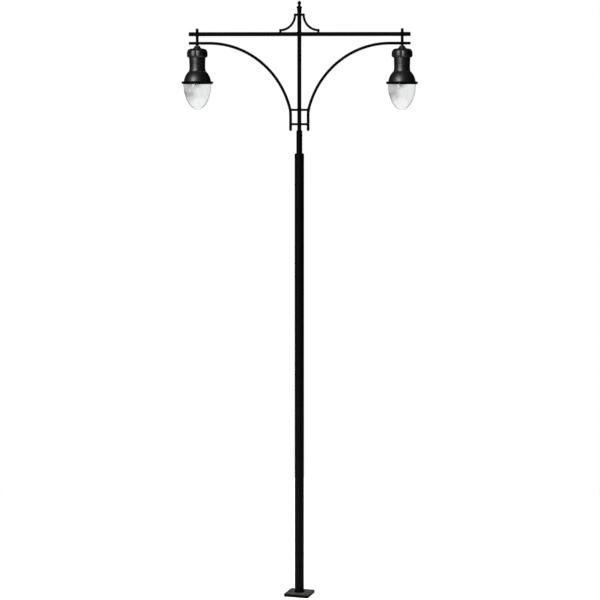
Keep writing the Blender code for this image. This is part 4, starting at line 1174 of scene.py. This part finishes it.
def backdrop():
    """White behind the object, and a dim room, lighter on the left, for what reflects or lights."""
    world = bpy.data.worlds.new("studio")
    bpy.context.scene.world = world
    world.use_nodes = True
    tree = world.node_tree
    room = tree.nodes["Background"]
    white = tree.nodes.new("ShaderNodeBackground")
    mixed = tree.nodes.new("ShaderNodeMixShader")
    path = tree.nodes.new("ShaderNodeLightPath")
    where = tree.nodes.new("ShaderNodeTexCoord")
    parts = tree.nodes.new("ShaderNodeSeparateXYZ")
    tree.links.new(where.outputs["Generated"], parts.inputs["Vector"])
    strength = ranged(tree, parts.outputs["X"], ROOM[0], ROOM[1], -0.8, 0.5)
    tree.links.new(strength, room.inputs["Strength"])
    through = tree.nodes.new("ShaderNodeMath")
    through.operation = "MULTIPLY_ADD"
    through.use_clamp = True
    through.inputs[1].default_value = THROUGH_GLASS
    tree.links.new(path.outputs["Is Transmission Ray"], through.inputs[0])
    tree.links.new(path.outputs["Is Camera Ray"], through.inputs[2])
    tree.links.new(through.outputs["Value"], mixed.inputs["Fac"])
    tree.links.new(room.outputs["Background"], mixed.inputs[1])
    tree.links.new(white.outputs["Background"], mixed.inputs[2])
    tree.links.new(mixed.outputs["Shader"], tree.nodes["World Output"].inputs["Surface"])
    room.inputs["Color"].default_value = (1.0, 1.0, 1.0, 1.0)
    white.inputs["Color"].default_value = (1.0, 1.0, 1.0, 1.0)


def studio():
    scene = bpy.context.scene
    scene.view_settings.view_transform = "Standard"
    below = 0.0005
    bm = lathe(bmesh.new(), [(0, 0), (FLOOR_RADIUS, 0)], Matrix.Translation((0, 0, -below)))
    mesh = bpy.data.meshes.new("floor")
    bm.to_mesh(mesh)
    bm.free()
    floor = bpy.data.objects.new("floor", mesh)
    scene.collection.objects.link(floor)
    material, tree, shader = shader_tree("floor")
    tone = mottled(tree, 0.8, 3.0, (0.86, 0.86, 0.855), (0.90, 0.90, 0.895))
    tree.links.new(tone, shader.inputs["Base Color"])
    shader.inputs["Roughness"].default_value = 0.9
    shader.inputs["Specular IOR Level"].default_value = 0.1
    mesh.materials.append(material)
    backdrop()
    sun("key", energy=2.8, spread=26, azimuth=-30, elevation=27)
    sun("low", energy=1.5, spread=26, azimuth=-28, elevation=4)
    sun("overhead", energy=4.8, spread=40, azimuth=90, elevation=84, glints=False)


def camera():
    """Eye level with the lanterns, a little round to the right, looking slightly down."""
    azimuth, tilt, yaw = (math.radians(angle) for angle in (4.0, 6.3375, -0.0183))
    distance, height = 30.53, 7.872
    data = bpy.data.cameras.new("camera")
    data.sensor_width = 36.0
    data.lens = 123.85
    data.clip_end = 10000.0
    data.dof.use_dof = False
    eye = bpy.data.objects.new("camera", data)
    eye.location = (distance * math.sin(azimuth), -distance * math.cos(azimuth), height)
    eye.rotation_mode = "QUATERNION"
    eye.rotation_quaternion = (-bearing(azimuth + yaw, tilt)).to_track_quat("-Z", "Y")
    bpy.context.scene.collection.objects.link(eye)
    bpy.context.scene.camera = eye


def main():
    base_plate()
    lower_shaft()
    access_door()
    hinge_pin()
    door_lock()
    column_tubes()
    finial()
    equipment_board()
    breaker()
    toggle()
    terminals()
    earth_terminal()
    for side, name in ((-1, "left"), (1, "right")):
        cross_arm(side, name)
        stem(side, name)
        bracket(side, name)
        ties(side, name)
        scroll(side, name)
        lantern(side, name)
    studio()
    camera()


main()
